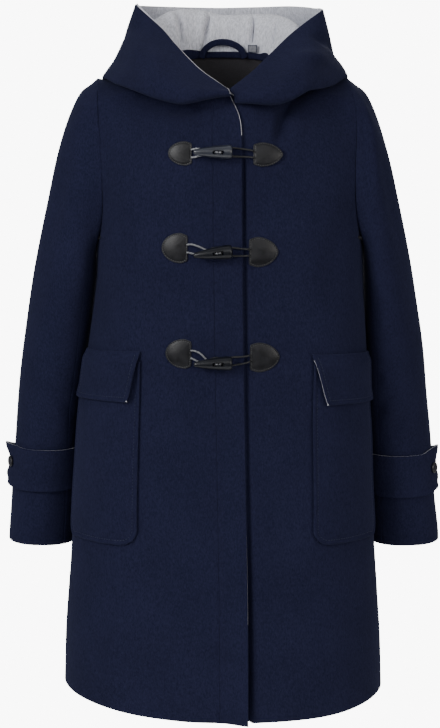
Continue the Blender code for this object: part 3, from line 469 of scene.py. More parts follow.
def back_half(s_index, r):
    """Point of the back's left half, which goes over the shoulder; None in the neck's opening."""
    s = s_index / BACK_HALF
    body_rows = HEM_ROWS + BACK_ROWS
    if r <= HEM_ROWS:
        theta = lerp(math.pi, math.pi / 2, s)
        return body_point(theta, lerp(hem_z(theta), ARMPIT_Z, r / HEM_ROWS))
    if r <= body_rows:
        up = r - HEM_ROWS
        arm = RING[(len(RING) - up) % len(RING)]
        if r == body_rows and s_index <= BACK_NECK:
            return neck_point(lerp(0.0, BACK_U, s_index / BACK_NECK))
        if r == body_rows:
            return neck_point(BACK_U).lerp(arm, (s_index - BACK_NECK) / (BACK_HALF - BACK_NECK))
        z = lerp(lerp(ARMPIT_Z, 2.0, up / BACK_ROWS), arm.z, s ** 2.2)
        end = theta_of(arm.x, max(arm.z, -240.0), at_back=True)
        point = body_point(lerp(math.pi, end, s), min(z, BODY_TOP_Z))
        point.z = z
        return arm.copy() if s_index == BACK_HALF else point
    if s_index < BACK_NECK:
        return None
    over = r - body_rows
    neck = neck_point(lerp(BACK_U, SEAM_U, over / CAP_ROWS))
    return neck.lerp(RING[FRONT_ROWS + CAP_ROWS - over], (s_index - BACK_NECK) / (BACK_HALF - BACK_NECK))


def back_grid():
    rows = HEM_ROWS + BACK_ROWS + CAP_ROWS + 1
    full = []
    for r in range(rows):
        line = [back_half(c, r) for c in range(BACK_HALF + 1)]
        left = [None if p is None else Vector((-p.x, p.y, p.z)) for p in reversed(line[1:])]
        full.append(left + line)
    pinned = {(HEM_ROWS + BACK_ROWS, BACK_HALF + c) for c in range(-BACK_NECK, BACK_NECK + 1)}
    relax(full, range(HEM_ROWS + 3, rows - 1), 8, pinned)
    return full


def hood_curve(u):
    """The hood's controls at u, from neck to rim; its sides are a little narrower, unevenly."""
    side = -1 if u < 0 else 1
    a = abs(u)
    neck = hood_row(a, 1)
    inward = Vector((-neck.x, 10.0 - neck.y, 0.0))
    inward.normalize()
    start = neck + inward * (WALL / 2) + Vector((0, 0, 2.0))
    controls = [start] + [hood_row(a, c) for c in (2, 3, 4, 5)]
    narrow = smoothstep((a - 0.25) / 0.3) * (1.0 - smoothstep((a - 0.7) / 0.25))
    for n, take in zip((3, 4), HOOD_NARROW[side]):
        controls[n].x *= 1.0 - take * narrow
    controls[4].z -= 3.0 * side * narrow
    return [Vector((p.x * side, p.y, p.z)) for p in controls]


def hood_grid(us):
    grid = []
    for u in us:
        controls = hood_curve(u)
        shift = HOOD_MEET * smoothstep((abs(u) - 0.7) / 0.3) + 0.5 * u
        line = []
        for span, steps in enumerate(HOOD_STEPS):
            for i in range(steps):
                line.append(spline(controls, span + i / steps))
        line.append(controls[-1].copy())
        for point in line:
            point.x += shift
        grid.append(line)
    return grid


def neck_frame(u, inset, z):
    """Point inside the neck seam by inset and above it by z."""
    p = neck_point(u)
    ahead = neck_point(u + 0.01) - neck_point(u - 0.01)
    inward = Vector((-ahead.y, ahead.x, 0.0))
    inward.normalize()
    if inward.dot(Vector((-p.x, -p.y, 0))) < 0:
        inward.negate()
    return Vector((p.x, p.y, p.z + z)) + inward * inset


def neck_y(x, inset):
    """Depth of the neck's line, set in, where it has this x."""
    low = -0.45
    high = 0.45
    for _ in range(30):
        middle = (low + high) / 2
        if neck_frame(middle, inset, 0.0).x < x:
            low = middle
        else:
            high = middle
    return neck_frame(low, inset, 0.0).y


def sleeve_ring(k):
    """Outer points of the left sleeve's ring at k, kept clear of the body below the shoulder."""
    ox, oy, oz, ix, iy, iz, depth = hermite(SLEEVE, k)
    outer = Vector((ox, oy, oz))
    inner = Vector((ix, iy, iz))
    zero = hermite(SLEEVE, 0)
    head_depth = zero[6]
    blend = smoothstep(k / 4.5)
    count = len(RING)
    ring = []
    clear = 1.0 * smoothstep(k / 2.5) + 0.3
    for j in range(count):
        start = RING[j]
        phi = 2 * math.pi * j / count
        up0 = (start.z - zero[5]) / (zero[2] - zero[5])
        y0 = start.y - lerp(zero[4], zero[1], up0)
        x0 = start.x - lerp(zero[3], zero[0], up0)
        c = math.cos(phi)
        s = math.sin(phi)
        up1 = 0.5 - 0.5 * math.copysign(abs(c) ** SLEEVE_POWER, c)
        y1 = -depth * math.copysign(abs(s) ** SLEEVE_POWER, s)
        up = lerp(up0, up1, blend)
        side_y = lerp(y0 * depth / head_depth, y1, blend)
        point = inner.lerp(outer, up)
        point = point + Vector((x0 * (1.0 - smoothstep(k / 3.0)), side_y, 0.0))
        if k > 0 and point.z < SLEEVE_CLEAR_Z:
            half, front, back, power = hermite(BODY, point.z)
            b = (front if point.y < 0 else back) + clear
            reach = (abs(point.x) / (half + clear)) ** power + (abs(point.y) / b) ** power
            scale = reach ** (-1.0 / power)
            if scale > 1.0:
                point.x *= scale
                point.y *= scale
        ring.append(point)
    return ring


def pocket_inner_x(z):
    return 110.5 + 4.0 * smoothstep((-400.0 - z) / 200.0)


def flap_top(s, side):
    return lerp(-375.0, -384.0, s) if side < 0 else lerp(-379.0, -388.0, s)


# ---------------------------------------------------------------- folds
FOLDS = {"body": [], "sleeve_left": [], "sleeve_right": [], "hood": [], "lining": []}


def fold(group, points, width, depth):
    """A soft trough (depth below 0) or ridge along points (mm), fading out at both ends."""
    FOLDS[group].append((refine(points, 6), width, depth))


def folds_at(group, points):
    """How far the folds of a group move each point along its normal (mm)."""
    p = np.asarray(points, float).reshape(-1, 3)
    total = np.zeros(len(p))
    for line, width, depth in FOLDS[group]:
        reach = 3.0 * width
        near = np.all((p > line.min(0) - reach) & (p < line.max(0) + reach), axis=1)
        if not near.any():
            continue
        q = p[near]
        best = np.full(len(q), 1e9)
        at = np.zeros(len(q))
        for i in range(len(line) - 1):
            a = line[i]
            d = line[i + 1] - a
            t = np.clip(((q - a) @ d) / max(d @ d, 1e-9), 0.0, 1.0)
            gap = np.linalg.norm(q - a - t[:, None] * d, axis=1)
            closer = gap < best
            best[closer] = gap[closer]
            at[closer] = (i + t[closer]) / (len(line) - 1)
        taper = ease(np.minimum(at, 1.0 - at) / 0.4)
        total[near] += depth * bell(best, width) * (0.15 + 0.85 * taper)
    return total


def waver(points, amount, size, seed):
    """Slow unevenness of cloth, as a few crossing waves about size mm long."""
    rng = np.random.default_rng(seed)
    p = np.asarray(points, float).reshape(-1, 3)
    total = np.zeros(len(p))
    for _ in range(7):
        way = rng.normal(size=3)
        way[2] *= 0.6
        way /= np.linalg.norm(way)
        length = size * rng.uniform(0.7, 1.6)
        total += np.sin(p @ way * (2 * math.pi / length) + rng.uniform(0, 2 * math.pi))
    return total * amount / 3.0


# ---------------------------------------------------------------- how the coat sits
SETTLE = (
    # z, shift of the right side seam line, shift of the left one
    (-560.0, 0.0, 0.0),
    (-460.0, 2.0, 2.0),
    (-400.0, 4.5, 6.0),
    (-340.0, 7.0, 9.0),
    (-290.0, 9.5, 9.5),
    (-230.0, 8.0, 9.5),
    (-170.0, 4.0, 11.0),
    (-110.0, 2.0, 12.0),
    (-70.0, 0.5, 9.0),
    (-35.0, 0.0, 0.0),
)


SLEEVE_OUTSIDE = (
    # z, x of the sleeve's outer side
    (-660.0, 294.0),
    (-395.0, 271.0),
    (-182.0, 230.0),
    (-99.0, 208.0),
    (-41.0, 176.0),
)


def settle(points):
    """The coat sits a little askew: the lines between body and sleeves move to the wearer's left."""
    p = np.array(points, float)
    levels, right, left = np.array(SETTLE).T
    right = np.interp(p[:, 2], levels, right)
    left = np.interp(p[:, 2], levels, left)
    x = np.abs(p[:, 0])
    outer = np.interp(p[:, 2], *np.array(SLEEVE_OUTSIDE).T)
    rise = ease((x - 70.0) / 90.0)
    fall = ease((outer - x) / np.maximum(outer - 172.0, 12.0))
    p[:, 0] += np.where(p[:, 0] < 0.0, right, left) * rise * fall
    # the hem hangs lower on the wearer's left, and the cuffs hang lower and flare
    low = ease((-760.0 - p[:, 2]) / 100.0) * ease((p[:, 0] + 8.0) / 36.0)
    p[:, 2] -= low * (2.5 + 6.5 * ease((p[:, 0] - 50.0) / 150.0))
    cuff = ease((-596.0 - p[:, 2]) / 60.0) * ease((x - 194.0) / 8.0) * (p[:, 2] > -700.0)
    p[:, 2] -= cuff * np.where(p[:, 0] < 0.0, 4.0, 4.5)
    p[:, 0] += cuff * ease((x - 225.0) / 50.0) * np.where(p[:, 0] < 0.0, -1.6, 4.2)
    return p


# ---------------------------------------------------------------- cloth meshes
def normals_of(p, wrap=False):
    """Unit normals of a grid of points; where a neighbour is missing the point itself counts."""
    def slope(axis, round_it):
        ahead = np.roll(p, -1, axis)
        behind = np.roll(p, 1, axis)
        if not round_it:
            last = [slice(None)] * 3
            last[axis] = -1
            first = [slice(None)] * 3
            first[axis] = 0
            ahead[tuple(last)] = p[tuple(last)]
            behind[tuple(first)] = p[tuple(first)]
        ahead = np.where(np.isnan(ahead), p, ahead)
        behind = np.where(np.isnan(behind), p, behind)
        return ahead - behind

    n = np.cross(slope(1, wrap), slope(0, False))
    size = np.linalg.norm(n, axis=2, keepdims=True)
    return n / np.maximum(size, 1e-9)


# Angles of a cloth edge's cross-section, and the power that flattens its round
RIM = (0.0, 24.0, 58.0, 90.0, 122.0, 156.0, 180.0)
RIM_POWER = 0.7


def build(name, verts, faces, looks, slots=None):
    """Object of the given mesh (mm) as the coat sits; slots are the faces' places in looks."""
    mesh = bpy.data.meshes.new(name)
    mesh.from_pydata((settle(verts) / 1000.0).tolist(), [], faces)
    for look in looks:
        mesh.materials.append(look)
    if slots is not None:
        mesh.polygons.foreach_set("material_index", slots)
    mesh.polygons.foreach_set("use_smooth", [True] * len(faces))
    mesh.update()
    obj = bpy.data.objects.new(name, mesh)
    bpy.context.scene.collection.objects.link(obj)
    return obj


def outward(base, normal, rim):
    """Direction in the cloth's surface, at points of its rim, that leads off the edge."""
    away = np.zeros((len(base), 3))
    run = base[rim[:, 1]] - base[rim[:, 0]]
    run /= np.maximum(np.linalg.norm(run, axis=1, keepdims=True), 1e-9)
    for end in (0, 1):
        np.add.at(away, rim[:, end], np.cross(run, normal[rim[:, end]]))
    size = np.linalg.norm(away, axis=1, keepdims=True)
    return np.where(size > 1e-9, away / np.maximum(size, 1e-9), 0.0)


def cloth(name, p, wall, out, looks, light=None, turn=None):
    """Thin closed cloth under the grid p of outer points, with rounded edges.

    out is +1 where columns x rows face outwards.  looks is (outer, inner[, edge]); light(point)
    gives the share of the edge, from its inner side, that is painted in the third look as a painted
    highlight.  turn(points) is how far in from the edge its rounding starts (mm); where two pieces are
    sewn it is small.
    """
    n = normals_of(p) * out
    ok = ~np.isnan(p[..., 0])
    index = np.full(p.shape[:2], -1)
    index[ok] = np.arange(ok.sum())
    base = p[ok]
    normal = n[ok]
    count = len(base)
    here = index[:, :-1]
    across = index[:, 1:]
    quads = np.stack([here[:-1], across[:-1], across[1:], here[1:]], axis=-1).reshape(-1, 4)
    quads = quads[(quads >= 0).all(axis=1)]
    edges = np.concatenate([quads[:, [k, (k + 1) % 4]] for k in range(4)])
    keys = edges[:, 0].astype(np.int64) * (count + 1) + edges[:, 1]
    back_keys = edges[:, 1].astype(np.int64) * (count + 1) + edges[:, 0]
    rim = edges[~np.isin(keys, back_keys)]
    away = outward(base, normal * out, rim)
    half = wall / 2
    round_in = np.full((count, 1), half)
    if turn is not None:
        round_in = np.asarray(turn(base), float).reshape(-1, 1)
    verts = [base - away * round_in, base - normal * wall - away * round_in]
    marks = np.unique(rim)
    for angle in RIM[1:-1]:
        a = math.radians(angle)
        high = math.copysign(abs(math.cos(a)) ** RIM_POWER, math.cos(a))
        wide = math.sin(a) ** RIM_POWER
        middle = base[marks] - normal[marks] * half - away[marks] * round_in[marks]
        verts.append(middle + normal[marks] * (half * high) + away[marks] * round_in[marks] * wide)
    flipped = quads[:, ::-1]
    faces = (quads if out > 0 else flipped).tolist() + ((flipped if out > 0 else quads) + count).tolist()
    slots = [0] * len(quads) + [1] * len(quads)
    # the rounded edge, one strip of faces for each piece of the rim
    place = {int(v): i for i, v in enumerate(marks)}
    rings = [2 * count + k * len(marks) for k in range(len(RIM) - 2)]
    steps = len(RIM) - 1
    for a, b in rim.tolist():
        share = 0.0 if light is None else light((base[a] + base[b]) / 2)
        line_a = [a] + [ring + place[a] for ring in rings] + [a + count]
        line_b = [b] + [ring + place[b] for ring in rings] + [b + count]
        for s in range(steps):
            face = [line_b[s], line_a[s], line_a[s + 1], line_b[s + 1]]
            faces.append(face if out > 0 else face[::-1])
            # rim strips within the light share are painted in the third look: a painted highlight on the edge
            painted_highlight = (steps - s) / steps <= share
            slots.append(2 if painted_highlight and len(looks) > 2 else (0 if s < steps - 1 else 1))
    return build(name, np.concatenate(verts), faces, looks, slots)


def dented(p, group, out, seed, amount, size, wrap=False):
    """Grid p moved along its normals by the folds of its group and a slight waver."""
    n = normals_of(p, wrap) * out
    shape = p.shape[:2]
    flat = np.nan_to_num(p).reshape(-1, 3)
    move = folds_at(group, flat) + waver(flat, amount, size, seed)
    return p + n * move.reshape(shape)[..., None]


BODY_WAVER = dict(seed=5, amount=0.55, size=120.0)


def on_front(points, side, off):
    """Points on the worn front, folds included, off along its normal; points are (theta, z)."""
    base = []
    normal = []
    for theta, z in points:
        here = body_point(theta, z)
        a = body_point(theta + 0.01, z)
        b = body_point(theta - 0.01, z)
        up = body_point(theta, z + 3.0)
        down = body_point(theta, z - 3.0)
        n = (a - b).cross(up - down)
        n.normalize()
        base.append(here + lap_shift(here.x, side))
        normal.append(n)
    base = np.array(base)
    normal = np.array(normal)
    move = folds_at("body", base) + waver(base, **BODY_WAVER)
    return base + normal * (move + np.asarray(off, float).reshape(-1))[:, None], normal


# ---------------------------------------------------------------- materials
def put(made, values):
    for socket, value in values.items():
        made.inputs[socket].default_value = value


def node(tree, kind, values=None, **settings):
    made = tree.nodes.new(kind)
    for key, value in settings.items():
        setattr(made, key, value)
    put(made, values or {})
    return made


def look(name, rough, values=None):
    """New material with the shader's even values, and its object coordinates."""
    mat = bpy.data.materials.new(name)
    mat.use_nodes = True
    tree = mat.node_tree
    shader = tree.nodes["Principled BSDF"]
    shader.inputs["Roughness"].default_value = rough
    put(shader, values or {})
    return mat, tree, shader, node(tree, "ShaderNodeTexCoord").outputs["Object"]


def noise(tree, coords, scale, detail, stretch=(1.0, 1.0, 1.0), rough=0.5):
    mapping = node(tree, "ShaderNodeMapping", {"Scale": stretch})
    made = node(tree, "ShaderNodeTexNoise", {"Scale": scale, "Detail": detail, "Roughness": rough})
    tree.links.new(coords, mapping.inputs["Vector"])
    tree.links.new(mapping.outputs["Vector"], made.inputs["Vector"])
    return made.outputs["Fac"]


def ramp(tree, source, low, dark, high, light):
    """Colour or grey that runs from dark where source is low to light where it is high."""
    made = node(tree, "ShaderNodeValToRGB")
    for element, at, colour in zip(made.color_ramp.elements, (low, high), (dark, light)):
        element.position = at
        element.color = (*colour, 1.0) if np.ndim(colour) else (colour, colour, colour, 1.0)
    tree.links.new(source, made.inputs["Fac"])
    return made.outputs["Color"]


def multiply(tree, a, b):
    made = node(tree, "ShaderNodeMix", {0: 1.0}, data_type="RGBA", blend_type="MULTIPLY")
    tree.links.new(a, made.inputs[6])
    tree.links.new(b, made.inputs[7])
    return made.outputs[2]


def bump(tree, height, strength, distance, after=None):
    made = node(tree, "ShaderNodeBump", {"Strength": strength, "Distance": distance})
    tree.links.new(height, made.inputs["Height"])
    if after is not None:
        tree.links.new(after, made.inputs["Normal"])
    return made.outputs["Normal"]


def finish_look(mat, colour, normal=None):
    tree = mat.node_tree
    shader = tree.nodes["Principled BSDF"]
    tree.links.new(colour, shader.inputs["Base Color"])
    if normal is not None:
        tree.links.new(normal, shader.inputs["Normal"])
    return mat


def wool_look(name, dark, light):
    """Milled wool: felted nap and slow shade changes."""
    mat, tree, _, coords = look(name, 0.95, {
        "Specular IOR Level": 0.06, "Sheen Weight": 0.06, "Sheen Roughness": 0.5,
        "Sheen Tint": (0.40, 0.45, 0.80, 1.0)})
    fibre = noise(tree, coords, 620.0, 4.0, (1.0, 1.0, 0.45), 0.7)
    cloud = noise(tree, coords, 14.0, 3.0)
    speck = noise(tree, coords, 210.0, 2.0)
    base = ramp(tree, fibre, 0.3, dark, 0.72, light)
    colour = multiply(tree, base, ramp(tree, cloud, 0.3, 0.86, 0.7, 1.0))
    colour = multiply(tree, colour, ramp(tree, speck, 0.35, 0.88, 0.65, 1.0))
    return finish_look(mat, colour, bump(tree, speck, 0.25, 0.0008, bump(tree, fibre, 0.35, 0.0006)))


def lining_look(name, dark, light):
    """Melange jersey: light grey with darker flecks along the knit."""
    mat, tree, _, coords = look(name, 0.9, {"Specular IOR Level": 0.2, "Sheen Weight": 0.15})
    fleck = noise(tree, coords, 520.0, 4.0, (1.0, 1.0, 0.25), 0.75)
    cloud = noise(tree, coords, 40.0, 2.0)
    base = ramp(tree, fleck, 0.34, dark, 0.62, light)
    colour = multiply(tree, base, ramp(tree, cloud, 0.3, 0.93, 0.7, 1.0))
    return finish_look(mat, colour, bump(tree, fleck, 0.3, 0.0004))


def woven_look(name, dark, light, across, rough):
    """Plain weave with fine ribs."""
    mat, tree, _, coords = look(name, rough, {"Specular IOR Level": 0.3})
    waves = node(tree, "ShaderNodeTexWave", {"Scale": across, "Distortion": 1.5, "Detail": 2.0},
                 wave_type="BANDS", bands_direction="Z")
    tree.links.new(coords, waves.inputs["Vector"])
    rib = waves.outputs["Fac"]
    grain = noise(tree, coords, 500.0, 3.0)
    base = ramp(tree, rib, 0.2, dark, 0.8, light)
    colour = multiply(tree, base, ramp(tree, grain, 0.3, 0.8, 0.7, 1.0))
    return finish_look(mat, colour, bump(tree, rib, 0.3, 0.0003))


def leather_look(name, dark, light):
    mat, tree, shader, coords = look(name, 0.4, {"Specular IOR Level": 0.33})
    cells = node(tree, "ShaderNodeTexVoronoi", {"Scale": 1100.0})
    tree.links.new(coords, cells.inputs["Vector"])
    soft = noise(tree, coords, 110.0, 3.0)
    tree.links.new(ramp(tree, soft, 0.3, 0.34, 0.7, 0.46), shader.inputs["Roughness"])
    grain = bump(tree, cells.outputs["Distance"], 0.25, 0.0002)
    return finish_look(mat, ramp(tree, soft, 0.32, dark, 0.68, light), bump(tree, soft, 0.2, 0.0006, grain))


def horn_look(name, shade):
    """Streaked horn; shade 1 is the lightest of the toggles."""
    mat, tree, _, coords = look(name, 0.28, {
        "Specular IOR Level": 0.15 + 0.35 * shade, "Coat Weight": 0.5 * shade, "Coat Roughness": 0.12})
    streak = noise(tree, coords, 130.0, 4.0, (0.25, 1.0, 1.6), 0.6)
    stops = ((0.3, (0.012, 0.014, 0.022)), (0.62, (0.030, 0.035, 0.050)), (0.8, (0.060, 0.068, 0.092)))
    made = node(tree, "ShaderNodeValToRGB")
    made.color_ramp.elements.new(0.5)
    for element, (at, colour) in zip(made.color_ramp.elements, stops):
        element.position = at
        element.color = (*(c * shade for c in colour), 1.0)
    tree.links.new(streak, made.inputs["Fac"])
    return finish_look(mat, made.outputs["Color"], bump(tree, streak, 0.08, 0.0004))


def cord_look(name, dark, light, rough=0.45):
    mat, tree, _, coords = look(name, rough)
    strand = noise(tree, coords, 900.0, 3.0, (0.5, 1.0, 1.0))
    return finish_look(mat, ramp(tree, strand, 0.3, dark, 0.7, light), bump(tree, strand, 0.3, 0.0002))


def plain_look(name, dark, light, rough, scale=60.0, detail=3.0):
    mat, tree, _, coords = look(name, rough)
    return finish_look(mat, ramp(tree, noise(tree, coords, scale, detail), 0.3, dark, 0.7, light))


WOOL = wool_look("wool_navy", (0.0081, 0.0096, 0.0278), (0.0194, 0.0216, 0.0560))
EDGE = lining_look("lining_melange", (0.45, 0.465, 0.530), (0.77, 0.780, 0.85))
BLACK = woven_look("facing_weave", (0.034, 0.032, 0.039), (0.080, 0.076, 0.086), 260.0, 0.7)
INSIDE = woven_look("inside_weave", (0.008, 0.008, 0.012), (0.02, 0.02, 0.028), 320.0, 0.6)
LEATHER = leather_look("leather", (0.0050, 0.0052, 0.0070), (0.0110, 0.0114, 0.0150))
# the patches' rims are painted in a lighter leather, a painted highlight
LEATHER_RIM_HIGHLIGHT = leather_look("leather_rim_highlight", (0.022, 0.023, 0.028), (0.042, 0.043, 0.050))
HORN = horn_look("horn", 1.0)
HORN_DARK = horn_look("horn_dark", 0.32)
# One cord painted in three shades: the toggle cords' greys are painted highlight, lightest on the first
# toggle, and the loops' near-black is painted shade
CORD_PAINTED_LIT = cord_look("cord_painted_lit", (0.16, 0.165, 0.18), (0.42, 0.43, 0.46))
CORD_PAINTED_HALF_LIT = cord_look("cord_painted_half_lit", (0.09, 0.094, 0.105), (0.26, 0.267, 0.29))
CORD_PAINTED_SHADE = cord_look("cord_painted_shade", (0.005, 0.0055, 0.007), (0.017, 0.018, 0.021))
THREAD = cord_look("thread_grey", (0.055, 0.057, 0.064), (0.10, 0.102, 0.11), 0.6)
THREAD_NAVY = cord_look("thread_navy", (0.012, 0.016, 0.036), (0.028, 0.034, 0.066), 0.7)
BUTTON = plain_look("button", (0.008, 0.008, 0.011), (0.02, 0.02, 0.026), 0.3)
TAG = plain_look("tag", (0.16, 0.165, 0.19), (0.24, 0.245, 0.27), 0.8, 400.0)


def finish_piece(obj, nodes):
    """Fixes obj to the coat, in place of the solids named nodes."""
    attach(obj, "root")
    if nodes:
        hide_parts(*nodes)
    return obj


# ---------------------------------------------------------------- where folds lie
def front_at(x, z):
    return body_point(theta_of(x, z), z)


def back_at(x, z):
    p = body_point(theta_of(abs(x), min(z, BODY_TOP_Z), at_back=True), min(z, BODY_TOP_Z))
    return Vector((math.copysign(p.x, x), p.y, z))


def sleeve_spot(side, j, k):
    p = spline(sleeve_ring(k), j, closed=True)
    return Vector((p.x * side, p.y, p.z))


def hood_spot(u, v):
    return spline(hood_grid([u])[0], v)


FRONT_FOLDS = (
    # (x, z) of the points a fold runs through, then its width and depth (mm; below 0 a trough)
    # under the hood, where it presses on the fronts
    (((112, -34), (98, -52), (87, -68), (78, -86), (70, -110)), 8, -9.0),
    (((104, -70), (95, -94), (84, -124)), 12, 3.2),
    (((-112, -50), (-78, -63), (-45, -68), (-12, -66), (14, -58)), 9, -6.0),
    (((-82, -84), (-45, -91), (-14, -88)), 10, 2.4),
    (((30, -60), (60, -63), (78, -58)), 5, -4.0),
    (((-78, -55), (-52, -60), (-20, -58)), 5, -4.0),
    # long soft folds of the skirt
    (((-86, -420), (-92, -560), (-90, -700), (-97, -850)), 34, -3.0),
    (((-45, -470), (-52, -640), (-50, -840)), 30, 1.6),
    (((-135, -300), (-140, -420), (-150, -640), (-160, -840)), 30, 2.0),
    (((70, -430), (82, -600), (88, -760), (92, -858)), 32, -3.0),
    (((122, -330), (132, -520), (146, -720), (150, -860)), 28, 2.2),
    (((40, -500), (44, -660), (46, -800)), 20, 1.2),
    # pull from the armholes
    (((-150, -190), (-128, -240), (-118, -310)), 17, -2.2),
    (((152, -185), (136, -250), (130, -330)), 18, -2.6),
    (((-112, -120), (-104, -170), (-100, -230)), 24, 1.5),
    (((108, -130), (100, -190), (96, -260)), 24, 1.5),
)
BACK_FOLDS = (
    (((-128, -170), (-116, -250), (-110, -340)), 18, -2.6),
    (((130, -160), (120, -240), (108, -330)), 20, -2.4),
    (((-60, -380), (-66, -560), (-74, -720), (-80, -850)), 32, 3.2),
    (((48, -420), (60, -600), (66, -760), (74, -856)), 30, 3.0),
    (((-120, -430), (-130, -600), (-144, -800)), 26, -2.6),
    (((118, -400), (126, -560), (138, -790)), 28, -2.4),
    (((-12, -470), (-10, -640), (-16, -850)), 24, -2.4),
    (((-70, -112), (-10, -128), (58, -116)), 17, -1.6),
    (((-95, -300), (-30, -318), (30, -312), (90, -296)), 22, -1.8),
)
SLEEVE_FOLDS = (
    # (place in the ring, ring) of the points, width, depth, and the share of it on the right sleeve
    (((2.6, 4.0), (3.0, 5.6), (3.3, 7.2), (3.2, 8.8)), 15, -4.6, 0.75),
    (((5.4, 4.4), (5.8, 6.4), (6.2, 8.6), (6.0, 10.6)), 19, 2.4, 1.0),
    (((2.2, 8.4), (4.0, 8.9), (5.6, 9.1)), 8, -1.8, 0.75),
    (((1.8, 9.6), (3.4, 9.8), (5.2, 9.5)), 9, -1.6, 1.0),
    (((3.0, 10.6), (4.4, 10.3), (6.4, 10.5)), 10, 1.2, 1.0),
    (((8.4, 3.2), (8.8, 5.4), (9.2, 8.0)), 17, 1.6, 1.0),
    (((7.4, 3.0), (7.2, 5.0), (7.6, 7.4)), 13, -1.5, 1.0),
    (((13.6, 7.2), (15.2, 7.9), (17.0, 8.2)), 11, -2.8, 1.0),
    (((14.0, 8.6), (15.6, 9.0), (17.6, 8.8)), 10, -2.2, 1.0),
    (((16.6, 4.4), (16.2, 6.2), (15.4, 8.0)), 18, 2.6, 1.0),
    (((18.8, 5.2), (18.4, 7.0), (18.0, 9.2)), 14, -3.0, 1.0),
    (((14.6, 10.0), (15.2, 12.0), (15.0, 14.2)), 18, 1.8, 1.0),
    (((4.6, 11.4), (4.9, 13.0), (4.7, 14.8)), 16, 1.4, 1.0),
)
HOOD_FOLDS = (
    # (u, v) of the points, v as the number of the column; width, depth
    (((0.74, 5.9), (0.64, 6.3), (0.52, 6.6)), 9, -5.2),
    (((0.70, 8.3), (0.64, 7.6), (0.56, 6.9), (0.50, 6.2)), 9, -7.0),
    (((0.80, 7.8), (0.70, 7.0), (0.62, 6.2)), 11, 4.6),
    (((0.90, 6.8), (0.82, 6.6), (0.74, 6.9)), 12, -2.0),
    (((-0.70, 8.2), (-0.60, 7.9), (-0.50, 7.5)), 8, -4.8),
    (((-0.76, 6.3), (-0.64, 6.4), (-0.54, 6.2)), 10, -2.6),
    (((-0.84, 7.6), (-0.72, 7.4), (-0.62, 7.0)), 14, 2.6),
    (((0.34, 5.4), (0.36, 6.8), (0.33, 8.4)), 12, -3.6),
    (((-0.30, 5.2), (-0.33, 6.6), (-0.31, 8.2)), 13, -4.0),
    (((0.10, 5.2), (0.16, 6.4), (0.14, 7.8)), 12, 2.8),
    (((-0.12, 5.6), (-0.10, 6.8), (-0.15, 8.2)), 11, -3.0),
)


def lay_folds():
    for at, folds in ((front_at, FRONT_FOLDS), (back_at, BACK_FOLDS)):
        for spots, width, depth in folds:
            fold("body", [at(x, z) for x, z in spots], width, depth)
    for side, group in ((1, "sleeve_left"), (-1, "sleeve_right")):
        for spots, width, depth, share in SLEEVE_FOLDS:
            depth *= 1.0 if side > 0 else share
            fold(group, [sleeve_spot(side, j, k) for j, k in spots], width, depth)
    for group, way in (("hood", 1.0), ("lining", -1.0)):
        for spots, width, depth in HOOD_FOLDS:
            fold(group, [hood_spot(u, v) for u, v in spots], width, depth * way)


lay_folds()


# ---------------------------------------------------------------- back and fronts
HEM_STEPS = 15
ARM_STEPS = 5
FRONT_STEPS = 6
BACK_STEPS = 7
FACING_ROWS = 15
FACING_COLS = 3
FACING_WALL = 1.2
FACING_INSET = WALL + 2.1
THROAT_Z = -116.0
# How far in from a sewn edge its rounding starts (mm)
ROUND_THROAT = 0.1
ROUND_ARMHOLE = 0.25
ROUND_SEAM = 0.65
ROUND_PRESSED = 0.22


def sewn(points):
    """Edge rounding of a body panel: full at the hem, tight at the seams."""
    throat = (points[:, 2] > THROAT_Z) & (np.abs(points[:, 0]) < 30.0)
    armhole = (points[:, 2] > ARMPIT_Z) & (np.abs(points[:, 0]) > 150.0)
    seam = np.where(throat, ROUND_THROAT, np.where(armhole, ROUND_ARMHOLE, ROUND_SEAM))
    return np.where(points[:, 2] < HEM_Z + HEM_RISE + 4.0, WALL / 2, seam)


def pressed(points):
    """Edge rounding of a sleeve piece: full at the cuff, tight where seams are pressed flat."""
    return np.where(points[:, 2] < -640.0, WALL / 2, ROUND_PRESSED)


def make_back():
    """Both halves of the back and the facing inside its neck.

    Below the neck the grid is whole; above it only the columns at its sides reach over the shoulders.
    """
    a = np.array([[(math.nan,) * 3 if p is None else tuple(p) for p in line] for line in back_grid()])
    body = HEM_ROWS + BACK_ROWS
    steps = [HEM_STEPS] * HEM_ROWS + [ARM_STEPS] * (BACK_ROWS + CAP_ROWS)
    rows = sum(steps) + 1
    body_row = sum(steps[:body])
    side_cols = BACK_HALF - BACK_NECK + 1
    width = a.shape[1]
    tall = np.full((rows, width, 3), math.nan)
    for c in range(width):
        if c < side_cols or c >= width - side_cols:
            tall[:, c] = refine(a[:, c], steps)
        else:
            tall[:body_row + 1, c] = refine(a[:body + 1, c], steps[:body])
    cols = (width - 1) * BACK_STEPS + 1
    fine = np.full((rows, cols, 3), math.nan)
    fine[:body_row + 1] = refine(tall[:body_row + 1].swapaxes(0, 1), BACK_STEPS).swapaxes(0, 1)
    above = tall[body_row + 1:].swapaxes(0, 1)
    part = (side_cols - 1) * BACK_STEPS + 1
    fine[body_row + 1:, :part] = refine(above[:side_cols], BACK_STEPS).swapaxes(0, 1)
    fine[body_row + 1:, -part:] = refine(above[-side_cols:], BACK_STEPS).swapaxes(0, 1)
    plain = fine.copy()
    fine = dented(fine, "body", -1, **BODY_WAVER)
    middle = cols // 2
    for label, part in (("right", slice(0, middle + 1)), ("left", slice(middle, cols))):
        half = fine[:, part].copy()
        seam = -1 if label == "right" else 0
        half[:body_row + 1, seam, 0] = 0.0
        obj = cloth("back_" + label, half, WALL, -1, (WOOL, INSIDE, WOOL), turn=sewn)
        finish_piece(obj, ["back_" + label])
    reach = FACING_COLS * BACK_STEPS
    facing = plain[body_row - FACING_ROWS:body_row, middle - reach:middle + reach + 1]
    inward = normals_of(facing)
    obj = cloth("back_neck_facing", facing + inward * FACING_INSET, FACING_WALL, 1, (BLACK, BLACK))
    finish_piece(obj, ["back_neck_facing"])


